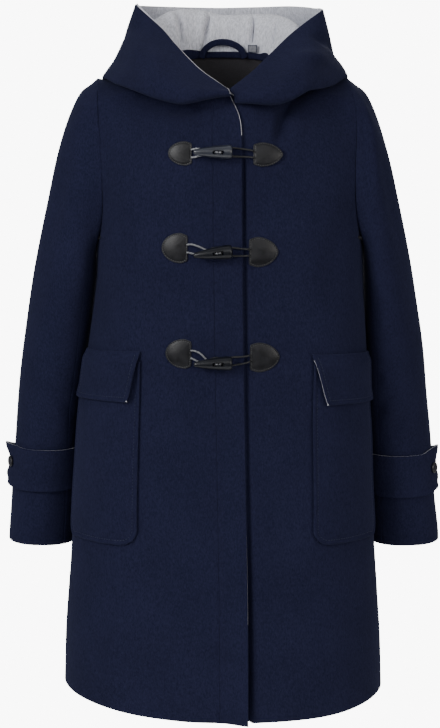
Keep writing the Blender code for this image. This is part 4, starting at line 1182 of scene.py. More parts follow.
UNDER_HOOD = {
    # (x, z) points of the creases from under the hood, width and depth (mm; above 0 a trough)
    "left": ((((97.0, -44.0), (92.0, -52.0), (81.0, -66.0), (74.0, -82.0), (70.0, -112.0)), 6.5, 8.0),
             (((112.0, -40.0), (96.0, -50.0), (86.0, -60.0), (78.0, -72.0)), 6.5, 9.0),
             (((112.0, -60.0), (98.0, -78.0), (90.0, -104.0)), 10.0, -3.0),
             (((60.0, -62.0), (64.0, -78.0), (62.0, -104.0)), 8.0, -2.4)),
    "right": ((((-104.0, -50.0), (-80.0, -66.0), (-58.0, -70.0), (-36.0, -71.0)), 5.5, 7.5),
              (((-62.0, -70.0), (-60.0, -84.0), (-66.0, -104.0)), 7.0, 3.0),
              (((-92.0, -86.0), (-50.0, -92.0), (-38.0, -90.0)), 10.0, -2.0)),
}


def creases_under_hood(points, lines):
    """How far the creases move each point of a front's outer side towards its back (mm)."""
    shift = np.zeros(points.shape[:2])
    for line, width, depth in lines:
        nearest = np.full(points.shape[:2], 1e9)
        for a, b in zip(line[:-1], line[1:]):
            way = np.array(b) - np.array(a)
            flat = points[..., (0, 2)] - np.array(a)
            share = np.clip(flat @ way / (way @ way), 0.0, 1.0)
            nearest = np.minimum(nearest, np.linalg.norm(flat - share[..., None] * way, axis=-1))
        end = line[-1][1]
        fade = ease((points[..., 2] - end + width) / 24.0) if end < -100.0 else 1.0
        shift += depth * bell(nearest, width) * fade
    return np.where(points[..., 1] < 0.0, shift, 0.0)


FRONT_ROW_STEPS = [HEM_STEPS] * HEM_ROWS + [ARM_STEPS] * FRONT_ROWS


def make_front(label, side):
    fine = refine2(front_grid(side), FRONT_ROW_STEPS, FRONT_STEPS if side < 0 else 2 * FRONT_STEPS)
    fine = dented(fine, "body", side, **BODY_WAVER)
    fine[..., 1] += creases_under_hood(fine, UNDER_HOOD[label])
    if side > 0:
        # a trough beside the stand's free edge, deeper below the pockets
        edge = np.array([free_edge_x(z) for z in fine[..., 2].ravel()]).reshape(fine.shape[:2])
        beside = bell(fine[..., 0] - edge - 1.8, 2.6) * (fine[..., 1] < 0.0)
        deep = 5.0 + 4.0 * ease((-560.0 - fine[..., 2]) / 200.0)
        fine[..., 1] += deep * beside * ease((-112.0 - fine[..., 2]) / 30.0)
    obj = cloth("front_" + label, fine, WALL, side, (WOOL, INSIDE, WOOL), turn=sewn)
    return finish_piece(obj, ["front_" + label])


def make_stand():
    """The strip on the right front's edge; it stands off the left front more and more to the hem."""
    grid = []
    for z in front_levels():
        line = []
        for c in range(4):
            x = lerp(seam_x(z), free_edge_x(z), c / 3)
            line.append(tuple(body_point(theta_of(x, z), z) + lap_shift(x, -1)))
        grid.append(line)
    grid[-1] = [(p[0], neck_point(1.0).y - LAP, NECK_FRONT_Z) for p in grid[-1]]
    fine = refine2(grid, FRONT_ROW_STEPS, 4)
    fine = dented(fine, "body", 1, **BODY_WAVER)
    across = np.linspace(0.0, 1.0, fine.shape[1])[None, :]
    open_up = 1.8 + 6.5 * ease((-480.0 - fine[..., 2]) / 380.0)
    open_up = open_up * ease((-56.0 - fine[..., 2]) / 36.0)
    fine[..., 1] -= open_up * across ** 2.2

    # Painted highlight: the free edge's rim is painted lining grey, over most of it near the neck and over
    # half of it low on the skirt, where light catches it
    def light(p):
        if p[0] <= free_edge_x(p[2]) - 4.0:
            return 0.0
        if p[2] > -114.0:
            return 0.84 if p[2] > -101.0 else 0.6
        return 0.5 if -728.0 < p[2] < -580.0 else 0.2

    def turn(points):
        seam = np.where(points[:, 2] > THROAT_Z, ROUND_THROAT, 0.7)
        return np.where(points[:, 0] < seam_x(SEAM_TOP_Z) + 12.0, seam, WALL / 2)

    obj = cloth("button_stand", fine, WALL, 1, (WOOL, EDGE, EDGE), light=light, turn=turn)
    finish_piece(obj, ["button_stand"])


# ---------------------------------------------------------------- hood
LINING_TUCK = 4.5  # the lining reaches this far below the neck seam at the back
HOOD_ROW_STEPS = 12
HOOD_COL_STEPS = 6
HOOD_WALL = WALL - 0.2
HOOD_GAP = 0.15  # from the common surface to the wool and to the lining
CREASE_ROOM = 1.1  # the wool gives way to a crease by this share of its depth
LINING_CREASES = (
    # (u, v) at both ends, v 0 at the neck, 1 at the roll, 4 at the rim; width in u, depth (mm;
    # below 0 a ridge)
    ((-0.268, 0.00), (-0.234, 0.80), 0.0200, 10.0),
    ((-0.304, 0.00), (-0.266, 0.98), 0.0200, -6.0),
    ((-0.235, 0.20), (-0.190, 1.05), 0.0220, -2.0),
    ((-0.126, 0.02), (-0.062, 0.82), 0.0140, 8.0),
    ((-0.150, 0.02), (-0.082, 0.96), 0.0150, -4.0),
    ((0.165, 0.05), (0.148, 0.86), 0.0110, 7.0),
    ((0.142, 0.05), (0.124, 0.94), 0.0120, -2.8),
    ((0.300, 0.05), (0.285, 0.74), 0.0110, 6.0),
    ((-0.292, 2.80), (-0.284, 3.72), 0.0130, 2.4),
    ((-0.240, 2.90), (-0.237, 3.68), 0.0110, 2.0),
)


def shape_hood(fine, u, v, column):
    """Moves the hood's common surface (u round the neck, v from neck to rim) as worn."""
    near = ease((np.abs(u) - 0.84) / 0.16) * ease(np.arange(fine.shape[1]) / (fine.shape[1] * 0.3))[None, :]
    for axis, over, under in ((0, 2.0, 0.5), (1, -4.8, 4.2), (2, -5.0, -4.6)):
        fine[..., axis] += near * np.where(u < 0.0, over, under)
    # the right end is tucked up over the left one, which goes behind it
    tuck = ease((-u - 0.90) / 0.10) * window(v, 2.2, 1.7)
    fine[..., 0] += 3.0 * ease((-u - 0.93) / 0.07) * window(v, 2.2, 1.5)
    fine[..., 2] += tuck * 9.5
    fine[..., 1] += tuck * 3.0
    behind = ease((u - 0.86) / 0.14) * ease((3.9 - v) / 1.0)
    fine[..., 0] += behind * 6.0
    fine[..., 1] += behind * 4.0
    # the lower fold is fuller beside the ends, and the roll is higher at the back
    lift = ease((np.abs(u) - 0.66) / 0.12) * ease((1.02 - np.abs(u)) / 0.08)
    lift = lift * window(column, 4.8, 2.4)
    fine[..., 2] += lift * np.where(u < 0.0, 3.6, 3.0 + 3.6 * bell(u - 0.76, 0.07))
    fine[..., 2] += window(column, 2.0, 1.9) * 6.0 * bell(u + 0.17, 0.14)
    # the lower fold hangs low on the wearer's left, and its corner on the right
    low_side = ease((u - 0.40) / 0.15) * ease((0.78 - u) / 0.15) * window(column, 4.6, 2.6)
    fine[..., 0] += low_side * 4.0
    fine[..., 2] -= low_side * 3.5
    corner = ease((-u - 0.46) / 0.10) * ease((0.72 + u) / 0.12) * window(v, 2.1, 1.2)
    fine[..., 2] -= corner * 4.5
    fine[..., 0] += corner * 1.5


def crease_lining(u, v):
    """How deep the lining's creases are at each point, and how far they push it aside (mm)."""
    creased = np.zeros((len(u), v.shape[1]))
    slid = np.zeros_like(creased)
    for start, end, width, depth in LINING_CREASES:
        share = np.clip((v - start[1]) / (end[1] - start[1]), 0.0, 1.0)
        away = u - lerp(start[0], end[0], share)
        fade = ease((v - start[1]) / 0.16) * ease((end[1] - v) / 0.30)
        slid += max(depth, 0.0) * 0.4 * bell(away / width + 0.7, 0.7) * fade
        away = away / (width * np.where(away < 0.0, 0.45, 1.4) if depth > 0.0 else width)
        creased += depth * bell(away, 1.0) * fade
    return creased, slid


def spread(depth, rows):
    """The largest depth within so many rows of each point."""
    wide = depth.copy()
    for shift in range(1, rows + 1):
        wide[shift:] = np.maximum(wide[shift:], depth[:-shift])
        wide[:-shift] = np.maximum(wide[:-shift], depth[shift:])
    return wide


def unit(a):
    return a / np.linalg.norm(a, axis=1, keepdims=True)


def make_hood():
    us = [-u for u in reversed(HOOD_US[1:])] + list(HOOD_US)
    fine = refine2(hood_grid(us), HOOD_ROW_STEPS, HOOD_COL_STEPS)
    rows, cols = fine.shape[:2]
    middle = rows // 2
    column = np.arange(cols) / HOOD_COL_STEPS
    u = np.interp(np.arange(rows), np.arange(len(us)) * HOOD_ROW_STEPS, us)[:, None]
    v = np.interp(column, np.cumsum((0,) + HOOD_STEPS), range(5))[None, :]
    shape_hood(fine, u, v, column)
    n = normals_of(fine)
    creased, slid = crease_lining(u, v)
    clear = spread(creased * (v < 2.0), 6)
    outer = fine + n * (HOOD_GAP + HOOD_WALL + CREASE_ROOM * clear[..., None])
    outer = dented(outer, "hood", 1, seed=9, amount=0.6, size=90.0)
    for label, part in (("right", slice(0, middle + 1)), ("left", slice(middle, rows))):
        half = outer[part].copy()
        half[-1 if label == "right" else 0, :, 0] = 0.0
        obj = cloth("hood_" + label, half, HOOD_WALL, 1, (WOOL, INSIDE, WOOL))
        finish_piece(obj, ["hood_" + label])
    inner = fine - n * (HOOD_GAP + LINING - creased[..., None])
    inner[..., 0] += slid
    inner = dented(inner, "lining", -1, seed=9, amount=-0.6, size=90.0)
    inner[:, 0, 2] -= LINING_TUCK * ease((0.5 - np.abs(u[:, 0])) / 0.1)
    # its edge shows past the wool's at the rim and at the right end, and stays inside at the left
    reach = np.where(u < -0.5, 1.2 + 1.6 * ease((-u - 0.5) / 0.12), np.where(u > 0.42, 1.2, 0.6))
    inner[:, -1] += unit(inner[:, -1] - inner[:, -2]) * reach + n[:, -1] * 1.5
    inner[-1] -= unit(inner[-1] - inner[-2]) * 3.0
    inner[0] += unit(inner[0] - inner[1]) * (0.3 + 1.2 * ease((v[0] - 3.0) / 0.8))[:, None]
    inner[0] += n[0] * 1.6
    obj = cloth("hood_lining", inner, LINING, -1, (EDGE, EDGE))
    finish_piece(obj, ["hood_lining"])


BAND_INSET = WALL + 3.0
LOOP_HALF = 4.4
LOOP_ARCH = (
    # x, z of the hanger loop's middle line
    (-28.5, -8.5),
    (-26.5, -1.5),
    (-21.5, 5.2),
    (-13.5, 10.4),
    (-3.0, 12.6),
    (8.0, 11.8),
    (17.5, 8.0),
    (24.5, 2.2),
    (29.0, -8.5),
)


def make_neck():
    band = []
    for u in np.linspace(-0.5, 0.5, 57):
        top = -1.6 + 5.4 * smoothstep((-u - 0.08) / 0.16) + 1.6 * smoothstep((u - 0.2) / 0.2)
        band.append([tuple(neck_frame(u, BAND_INSET - 0.5 * abs(v) ** 3, lerp(-10.0, top, (v + 1) / 2)))
                     for v in (-1.0, -0.8, -0.4, 0.0, 0.4, 0.8, 1.0)])
    obj = cloth("neck_band", np.array(band), 1.5, -1, (WOOL, WOOL))
    finish_piece(obj, ["neck_band"])
    arch = [Vector((x, neck_y(x, BAND_INSET + 0.9 + 2.2), z)) for x, z in LOOP_ARCH]
    path = refine(arch, 6)
    along = unit(np.gradient(path, axis=0))
    side = unit(np.stack([along[:, 2], np.zeros(len(path)), -along[:, 0]], axis=1))
    strip = np.stack([path + side * w * LOOP_HALF - np.array([0, 0.7 * (1 - w * w), 0])
                      for w in (-1.0, -0.7, -0.3, 0.0, 0.3, 0.7, 1.0)], axis=1)
    obj = cloth("hanger_loop", strip, 2.2, 1, (WOOL, WOOL))
    finish_piece(obj, ["hanger_loop"])
    tag = []
    for x in np.linspace(33.0, 45.0, 13):
        y = neck_y(x, BAND_INSET + 0.9 + 0.8)
        tag.append([(x, y - 0.2 * math.sin(z * 0.5), z) for z in np.linspace(-1.0, 9.0, 11)])
    obj = cloth("size_tag", np.array(tag), 0.7, -1, (TAG, TAG, THREAD_NAVY))
    for face in obj.data.polygons:
        x, _, z = face.center * 1000.0
        if not (34.0 < x < 44.0 and 0.0 < z < 8.0):
            face.material_index = 2
    finish_piece(obj, ["size_tag"])


# ---------------------------------------------------------------- sleeves
SLEEVE_ROW_STEPS = (3, 4, 5, 7, 9, 10, 13, 15, 19, 19, 20, 13, 7)
SLEEVE_COL_STEPS = 6
SLEEVE_OFF = 0.12  # between the sleeve's head and the body's armhole
SLEEVES = {}  # the fine points and normals of each, for what is laid on it


def make_sleeve(label, side):
    rings = [sleeve_ring(k) for k in SLEEVE_KS]
    rings[0] = [p + Vector((SLEEVE_OFF, 0, 0)) for p in rings[0]]
    fine = refine2(rings, SLEEVE_ROW_STEPS, SLEEVE_COL_STEPS, wrap=True)
    fine[..., 0] *= side
    seed = 13 if side > 0 else 17
    fine = dented(fine, "sleeve_" + label, -side, seed, amount=0.7, size=100.0, wrap=True)
    SLEEVES[label] = (fine, normals_of(fine, True) * -side)
    count = fine.shape[1]
    seam = UNDER_SLEEVE * SLEEVE_COL_STEPS
    under = np.concatenate([fine[:, count - seam:], fine[:, :seam + 1]], axis=1)
    upper = fine[:, seam:count - seam + 1]
    for kind, part, flat, area in (("sleeve_under_", under, (0.148, 0.47), 0.0452),
                                   ("sleeve_upper_", upper, (0.41, 0.65), 0.140)):
        obj = cloth(kind + label, part, WALL, -side, (WOOL, INSIDE, WOOL), turn=pressed)
        finish_piece(obj, [kind + label])


def on_sleeve(label, j, z, off):
    """Point off the fine sleeve at place j of the ring and height z, and the normal there."""
    fine, normal = SLEEVES[label]
    count = fine.shape[1]
    col = j * SLEEVE_COL_STEPS
    a = int(math.floor(col)) % count
    b = (a + 1) % count
    f = col - math.floor(col)
    line = fine[:, a] * (1 - f) + fine[:, b] * f
    norm = normal[:, a] * (1 - f) + normal[:, b] * f
    first = len(line) // 3  # below the cap, where heights only fall
    heights = line[first:, 2][::-1]
    p = np.array([np.interp(z, heights, line[first:, k][::-1]) for k in range(3)])
    n = np.array([np.interp(z, heights, norm[first:, k][::-1]) for k in range(3)])
    n /= np.linalg.norm(n)
    return p + n * off, n


STRAP_FLARE = {"right": (9.5, 4.2), "left": (6.0, 2.6)}  # at the top, and below


def strap_lift(label, j, g):
    """The strap stands off at its lower edge; its pointed end flares at the top and bulges below."""
    tip = smoothstep((j - 8.0) / 1.6)
    top, low = STRAP_FLARE[label]
    flare = top * tip * smoothstep((g - 0.5) / 0.5) ** 1.3 * (1.0 - smoothstep((j - 9.8) / 1.8))
    bulge = low * tip * math.exp(-((g - 0.24) / 0.15) ** 2)
    belly = 1.4 * math.sin(math.pi * g) ** 1.5
    return ON_PANEL + 0.4 + flare + bulge + belly + 2.8 * smoothstep((0.16 - g) / 0.16)


STRAP_DROP = {"right": -6.5, "left": -15.0}
STRAP_SPAN = (1.6, 12.2)  # places of the ring where it starts and where its point ends


def make_strap(label, side):
    """Cuff strap from the sleeve's inner side round its front to a point on the outer side."""
    grid = []
    steps = 64
    rows = 14
    for i in range(steps + 1):
        s = i / steps
        j = lerp(*STRAP_SPAN, s)
        tip = smoothstep((s - 0.88) / 0.12)
        rise = (2.0 if side < 0 else 6.0) * smoothstep((j - 7.2) / 2.0) - 7.0 * smoothstep((j - 9.8) / 1.6)
        top = STRAP_TOP + STRAP_DROP[label] + rise - 9.0 * tip * tip
        bottom = STRAP_BOTTOM + STRAP_DROP[label] + 0.7 * rise + 14.0 * tip
        line = []
        for r in range(rows + 1):
            g = r / rows
            p, _ = on_sleeve(label, j, lerp(bottom, top, g), strap_lift(label, j, g) + STRAP_WALL)
            line.append(tuple(p))
        grid.append(line)
    p = np.array(grid)
    outwards = on_sleeve(label, 7.0, -550.0, 0.0)[1]
    out = 1 if normals_of(p)[steps * 4 // 9, rows // 2] @ outwards > 0 else -1

    # Painted highlight: half the rim of the strap's upper edge is painted lining grey
    def light(q):
        return 0.5 if q[2] > STRAP_TOP + STRAP_DROP[label] - 12.0 else 0.17

    obj = cloth("cuff_strap_" + label, p, STRAP_WALL, out, (WOOL, EDGE, EDGE), light=light)
    finish_piece(obj, ["cuff_strap_" + label])


# ---------------------------------------------------------------- pockets
def corner_round(a, b, r):
    """Square corner region [0, r] x [0, r] drawn onto a quarter circle about (r, r)."""
    da = r - a
    db = r - b
    if da <= 0 or db <= 0:
        return a, b
    length = math.hypot(da, db)
    scale = max(da, db) / max(length, 1e-9)
    return r - da * scale, r - db * scale


def pocket_rim(a, b, width):
    """How far the point (a, b) of a pocket lies from its sewn edge (mm)."""
    r = POCKET_CORNER
    a = min(a, width - a)
    if a < r and b < r:
        return r - math.hypot(r - a, r - b)
    return min(a, b)


def rounded(i, r, width, height, corner):
    """Place on a pocket at the shares i across and r up, its lower corners drawn round."""
    a = width * i
    mirror = a > width / 2
    a, b = corner_round(width - a if mirror else a, height * r, corner)
    return width - a if mirror else a, b


def lie(spots, side):
    """Points on the front and their normals for a list of ((theta, z), height over the cloth)."""
    return on_front([spot for spot, _ in spots], side, [off for _, off in spots])


STITCH_IN = 6.4
STITCH_LIFT = np.array([-0.25, 0.12, 0.24, 0.12, -0.25])
# length of a stitch, gap, thread's radius
WOOL_STITCH = (2.8, 1.3, 0.26)
PATCH_STITCH = (2.0, 1.0, 0.24)


def edge_roll(away):
    """A sewn edge swells outside its line of stitches and dips along it."""
    return 1.3 * math.exp(-((away - 2.6) / 2.2) ** 2) - 0.7 * math.exp(-((away - STITCH_IN) / 1.5) ** 2)


def sew_edge(name, spots, side):
    stitches(name, *lie(spots, side), THREAD_NAVY, "wool_navy", *WOOL_STITCH)


def make_pocket(label, side):
    width = POCKET_WIDTH
    cols = 74
    rows = 110

    def bottom_at(a):
        return POCKET_BOTTOM + lerp(9.0, 4.0, a / width)

    def spot(a, b, bottom):
        z = bottom + b
        inner = pocket_inner_x(z) - (3.6 if side < 0 else -1.2)
        share = a / width
        theta = lerp(theta_of(inner, z), math.radians(POCKET_REACH), share) * side
        belly = math.sin(math.pi * share) * math.sin(math.pi * min(1.0, b / POCKET_HEIGHT)) ** 0.7
        rim = edge_roll(pocket_rim(a, b, width))
        return (theta, z), ON_PANEL + POCKET_WALL + 1.4 * belly + rim

    found = []
    for i in range(cols + 1):
        bottom = bottom_at(width * i / cols)
        top = flap_top(i / cols, side) - POCKET_UNDER_FLAP
        for r in range(rows + 1):
            found.append(spot(*rounded(i / cols, r / rows, width, top - bottom, POCKET_CORNER), bottom))
    p, _ = lie(found, side)
    obj = cloth("pocket_" + label, p.reshape(cols + 1, rows + 1, 3), POCKET_WALL, -side, (WOOL, WOOL))
    finish_piece(obj, ["pocket_" + label])
    turn = POCKET_CORNER - STITCH_IN
    far = width - POCKET_CORNER
    arc = [(turn * math.cos(a), turn * math.sin(a)) for a in map(math.radians, range(0, 91, 6))]
    path = [(STITCH_IN, b) for b in np.linspace(STITCHED_HEIGHT, POCKET_CORNER, 50)]
    path += [(POCKET_CORNER - c, POCKET_CORNER - s) for c, s in arc]
    path += [(a, STITCH_IN) for a in np.linspace(POCKET_CORNER, far, 30)]
    path += [(far + s, POCKET_CORNER - c) for c, s in arc]
    path += [(width - STITCH_IN, b) for b in np.linspace(POCKET_CORNER, STITCHED_HEIGHT, 50)]
    sew_edge("pocket_stitches_" + label, [spot(a, b, bottom_at(a)) for a, b in path], side)


def make_flap(label, side):
    width = FLAP_WIDTH
    drop = FLAP_DROP
    cols = 60
    rows = 36

    def spot(a, b):
        share = a / width
        g = b / drop
        low = lerp(-441.0, -449.0, share) if side < 0 else lerp(-446.0, -454.0, share)
        z = lerp(low, flap_top(share, side), g)
        inner = lerp(119.0, 107.0, g) if side < 0 else lerp(126.0, 109.0, g)
        theta = lerp(theta_of(inner, z), math.radians(POCKET_REACH - 1.4), share) * side
        stand = 3.6 * smoothstep((1.0 - g) / 0.22)
        curl = (5.4 if side < 0 else 3.2) * smoothstep((0.2 - share) / 0.2) * smoothstep((1.0 - g) / 0.5)
        droop = 1.8 * smoothstep((0.3 - g) / 0.3)
        rim = edge_roll(min(a, width - a, b)) * 0.7
        return (theta, z), ON_PANEL + FLAP_WALL + stand + curl + droop + rim

    p, _ = lie([spot(*rounded(i / cols, r / rows, width, drop, FLAP_CORNER))
                for i in range(cols + 1) for r in range(rows + 1)], side)
    p = p.reshape(cols + 1, rows + 1, 3)

    def light(q):
        """Painted highlight: the rim is painted lining grey at the flap's side next to the coat's front."""
        if np.linalg.norm(p[0] - q, axis=1).min() > 2.0:
            return 0.17
        if side > 0:
            return 0.7 if q[2] < flap_top(0.0, side) - 7.0 else 0.2
        return 0.84 if q[2] < -437.5 else 0.17

    obj = cloth("pocket_flap_" + label, p, FLAP_WALL, -side, (WOOL, EDGE, EDGE), light=light)
    finish_piece(obj, ["pocket_flap_" + label])
    path = [(STITCH_IN, b) for b in np.linspace(drop - 4.0, STITCH_IN, 24)]
    path += [(a, STITCH_IN) for a in np.linspace(STITCH_IN + 1.0, width - STITCH_IN, 40)]
    path += [(width - STITCH_IN, b) for b in np.linspace(STITCH_IN + 1.0, drop - 4.0, 24)]
    sew_edge("pocket_flap_stitches_" + label, [spot(a, b) for a, b in path], side)


# ---------------------------------------------------------------- trim
def tube_faces(rings, sides):
    """Faces between rings of points, and one across each end."""
    faces = []
    for r in range(rings - 1):
        for k in range(sides):
            m = (k + 1) % sides
            faces.append([r * sides + k, r * sides + m, (r + 1) * sides + m, (r + 1) * sides + k])
    faces.append(list(range(sides))[::-1])
    faces.append([(rings - 1) * sides + k for k in range(sides)])
    return faces


def tube_mesh(path, radius, sides, twist=0.0, lobes=0.0):
    """Vertices and faces of a cord along path; lobes and twist give two laid strands."""
    path = np.asarray(path, float)
    verts = []
    frame = None
    run = 0.0
    for i, point in enumerate(path):
        ahead = path[min(i + 1, len(path) - 1)] - path[max(i - 1, 0)]
        ahead = ahead / max(np.linalg.norm(ahead), 1e-9)
        if i:
            run += np.linalg.norm(point - path[i - 1])
        if frame is None:
            frame = np.cross(ahead, (0.3, 0.2, 0.93))
            frame /= np.linalg.norm(frame)
        frame = frame - ahead * (frame @ ahead)
        frame /= np.linalg.norm(frame)
        other = np.cross(ahead, frame)
        for k in range(sides):
            a = 2 * math.pi * k / sides
            r = radius * (1.0 + lobes * math.cos(2 * (a - twist * run)))
            verts.append(point + (frame * math.cos(a) + other * math.sin(a)) * r)
    return verts, tube_faces(len(path), sides)


def join(verts, faces, more):
    """Adds the vertices and faces of another mesh to the lists."""
    faces.extend([k + len(verts) for k in face] for face in more[1])
    verts.extend(more[0])


def stitches(name, line, normal, mat, slot, length, gap, radius):
    """Raised thread stitches along a line of points (mm) on the cloth, each with a normal."""
    verts = []
    faces = []
    along = np.concatenate([[0.0], np.cumsum(np.linalg.norm(np.diff(line, axis=0), axis=1))])
    at = 0.4
    while at + length < along[-1]:
        keys = np.linspace(at, at + length, len(STITCH_LIFT))
        pts = np.stack([np.interp(keys, along, line[:, k]) for k in range(3)], axis=1)
        nor = np.stack([np.interp(keys, along, normal[:, k]) for k in range(3)], axis=1)
        join(verts, faces, tube_mesh(pts + nor * STITCH_LIFT[:, None], radius, 5))
        at += length + gap
    return finish_piece(build(name, verts, faces, [mat]), [])


def patch_outline(s, blunt):
    """Unit outline of a patch: flat side at x -1, rounded point at x +1; s runs 0 to 1 round it."""
    t = 1.0 - 2.0 * s
    a = abs(t)
    if a > 0.86:
        f = (1.0 - a) / 0.14
        return -1.0, math.copysign(0.70 * f, t)
    if a > 0.76:
        turn = math.radians(90.0) * (0.86 - a) / 0.10
        return -0.84 - 0.16 * math.cos(turn), math.copysign(0.70 + 0.19 * math.sin(turn), t)
    x = 1.0 - 1.84 * (a / 0.76) ** 1.85
    if x > -0.45:
        y = max(0.0, 1.0 - ((x + 0.45) / 1.45) ** 2.05) ** (0.62 - 0.08 * blunt)
    else:
        y = 1.0 - 0.11 * ((-0.45 - x) / 0.39) ** 1.6
    return x, math.copysign(y, t)


PATCH_SIDES = 96
PATCH_RINGS = (
    # share of the outline, height over the cloth (mm), from the middle to the edge
    (0.0, 3.6),
    (0.25, 3.4),
    (0.5, 2.9),
    (0.7, 2.3),
    (0.82, 1.9),
    (0.88, 1.5),
    (0.902, 1.35),
    (0.925, 1.4),
    (0.955, 1.5),
    (0.98, 1.4),
    (0.996, 1.1),
    (1.0, 0.8),
    (1.0, 0.35),
    (0.985, 0.1),
)
PATCH_STITCHED = 6
# ring of a patch from which its rim is painted in lighter leather, a painted highlight
PATCH_HIGHLIGHT_RING = 9
PATCH_FLAT = 1.9


def make_patch(name, side, x, z, width, height, crown):
    """Leather patch over its cord ends; crown is the share of its bulge."""
    spots = []
    offs = []
    for ring, high in PATCH_RINGS:
        for i in range(PATCH_SIDES):
            ox, oy = patch_outline(i / PATCH_SIDES, side < 0)
            pz = z + oy * ring * height / 2
            spots.append((theta_of(x + side * (ox * ring + 0.03) * width / 2, pz), pz))
            offs.append(0.55 + min(high, PATCH_FLAT) + max(0.0, high - PATCH_FLAT) * crown)
    p, n = on_front(spots, side, offs)
    faces = tube_faces(len(PATCH_RINGS), PATCH_SIDES)
    del faces[-2]
    if side > 0:
        faces = [face[::-1] for face in faces]
    # faces from that ring outwards take the lighter leather: a painted highlight on the rim
    looks = [1 if k // PATCH_SIDES >= PATCH_HIGHLIGHT_RING else 0 for k in range(len(faces) - 1)] + [0]
    obj = build(name, p, faces, [LEATHER, LEATHER_RIM_HIGHLIGHT], looks)
    weld(obj)
    finish_piece(obj, [name])
    ring = [PATCH_STITCHED * PATCH_SIDES + k % PATCH_SIDES for k in range(PATCH_SIDES + 1)]
    stitches(name + "_stitches", p[ring], n[ring], THREAD, "leather_grey", *PATCH_STITCH)


def weld(obj, distance=1e-6):
    work = bmesh.new()
    work.from_mesh(obj.data)
    bmesh.ops.remove_doubles(work, verts=work.verts, dist=distance)
    bmesh.ops.recalc_face_normals(work, faces=work.faces)
    work.to_mesh(obj.data)
    work.free()


def over_front(x, z, height):
    return Vector((x, body_point(theta_of(x, z), z).y - LAP - height, z))


def lathe_mesh(profile, origin, axis, segments, flat=1.0):
    """Mesh of the (along, radius) profile turned about axis; flat presses it along one side."""
    axis = Vector(axis).normalized()
    side = axis.cross(Vector((0, 1, 0))).normalized()
    up = axis.cross(side)
    verts = []
    for along, radius in profile:
        for k in range(segments):
            a = 2 * math.pi * k / segments
            ray = side * math.cos(a) + up * math.sin(a) * flat
            verts.append(tuple(Vector(origin) + axis * along + ray * radius))
    return verts, tube_faces(len(profile), segments)


def cut(obj, mesh):
    """Takes the closed mesh (vertices, faces) away from obj."""
    cutter = build("cut", *mesh, [])
    weld(cutter, 1e-7)
    change = obj.modifiers.new("cut", "BOOLEAN")
    change.operation = "DIFFERENCE"
    change.solver = "EXACT"
    change.object = cutter
    bpy.context.view_layer.update()
    shape = bpy.data.meshes.new_from_object(obj.evaluated_get(bpy.context.evaluated_depsgraph_get()))
    obj.modifiers.clear()
    obj.data = shape
    bpy.data.objects.remove(cutter)


def shade(obj):
    """Smooth, but sharp where faces meet at more than 40 degrees."""
    obj.data.polygons.foreach_set("use_smooth", [True] * len(obj.data.polygons))
    obj.data.set_sharp_from_angle(angle=math.radians(40))


def make_toggle(name, mat, z, tilt):
    middle = over_front(TOGGLE_X, z, TOGGLE_HEIGHT)
    angle = math.radians(tilt)
    axis = Vector((math.cos(angle), 0.0, math.sin(angle)))
    fine = refine([(a, r, 0.0) for a, r in TOGGLE_PROFILE], 5)
    profile = [(-25.4, 0.5)] + [(a, r) for a, r, _ in fine] + [(23.7, 5.0), (23.8, 2.5)]
    toggle = build(name, *lathe_mesh(profile, middle, axis, 40, 0.92), [mat])
    weld(toggle, 1e-7)
    for along in TOGGLE_HOLES:
        hole = ((-14.0, HOLE_R), (14.0, HOLE_R))
        cut(toggle, lathe_mesh(hole, middle + axis * along, Vector((0, 1, 0.0001)), 20))
    # the groove from hole to hole that the cord lies in
    a = middle + axis * (TOGGLE_HOLES[0] - 1.0) + Vector((0, -6.4, 0))
    b = middle + axis * (TOGGLE_HOLES[1] + 1.0) + Vector((0, -6.9, 0))
    cut(toggle, tube_mesh([a.lerp(b, t) for t in (0.0, 0.02, 0.98, 1.0)], 2.6, 16))
    shade(toggle)
    finish_piece(toggle, [name])
    return middle, axis


CORD_WORN = 0.92  # share of the solid's radius
CORD_TWIST = 0.75
CORD_LOBES = 0.16


def make_cord(name, path, steps, mat):
    """Two-strand cord through the points of path."""
    strands = tube_mesh(refine(path, steps), CORD_R * CORD_WORN, 10, CORD_TWIST, CORD_LOBES)
    obj = build(name, *strands, [mat])
    finish_piece(obj, [name])


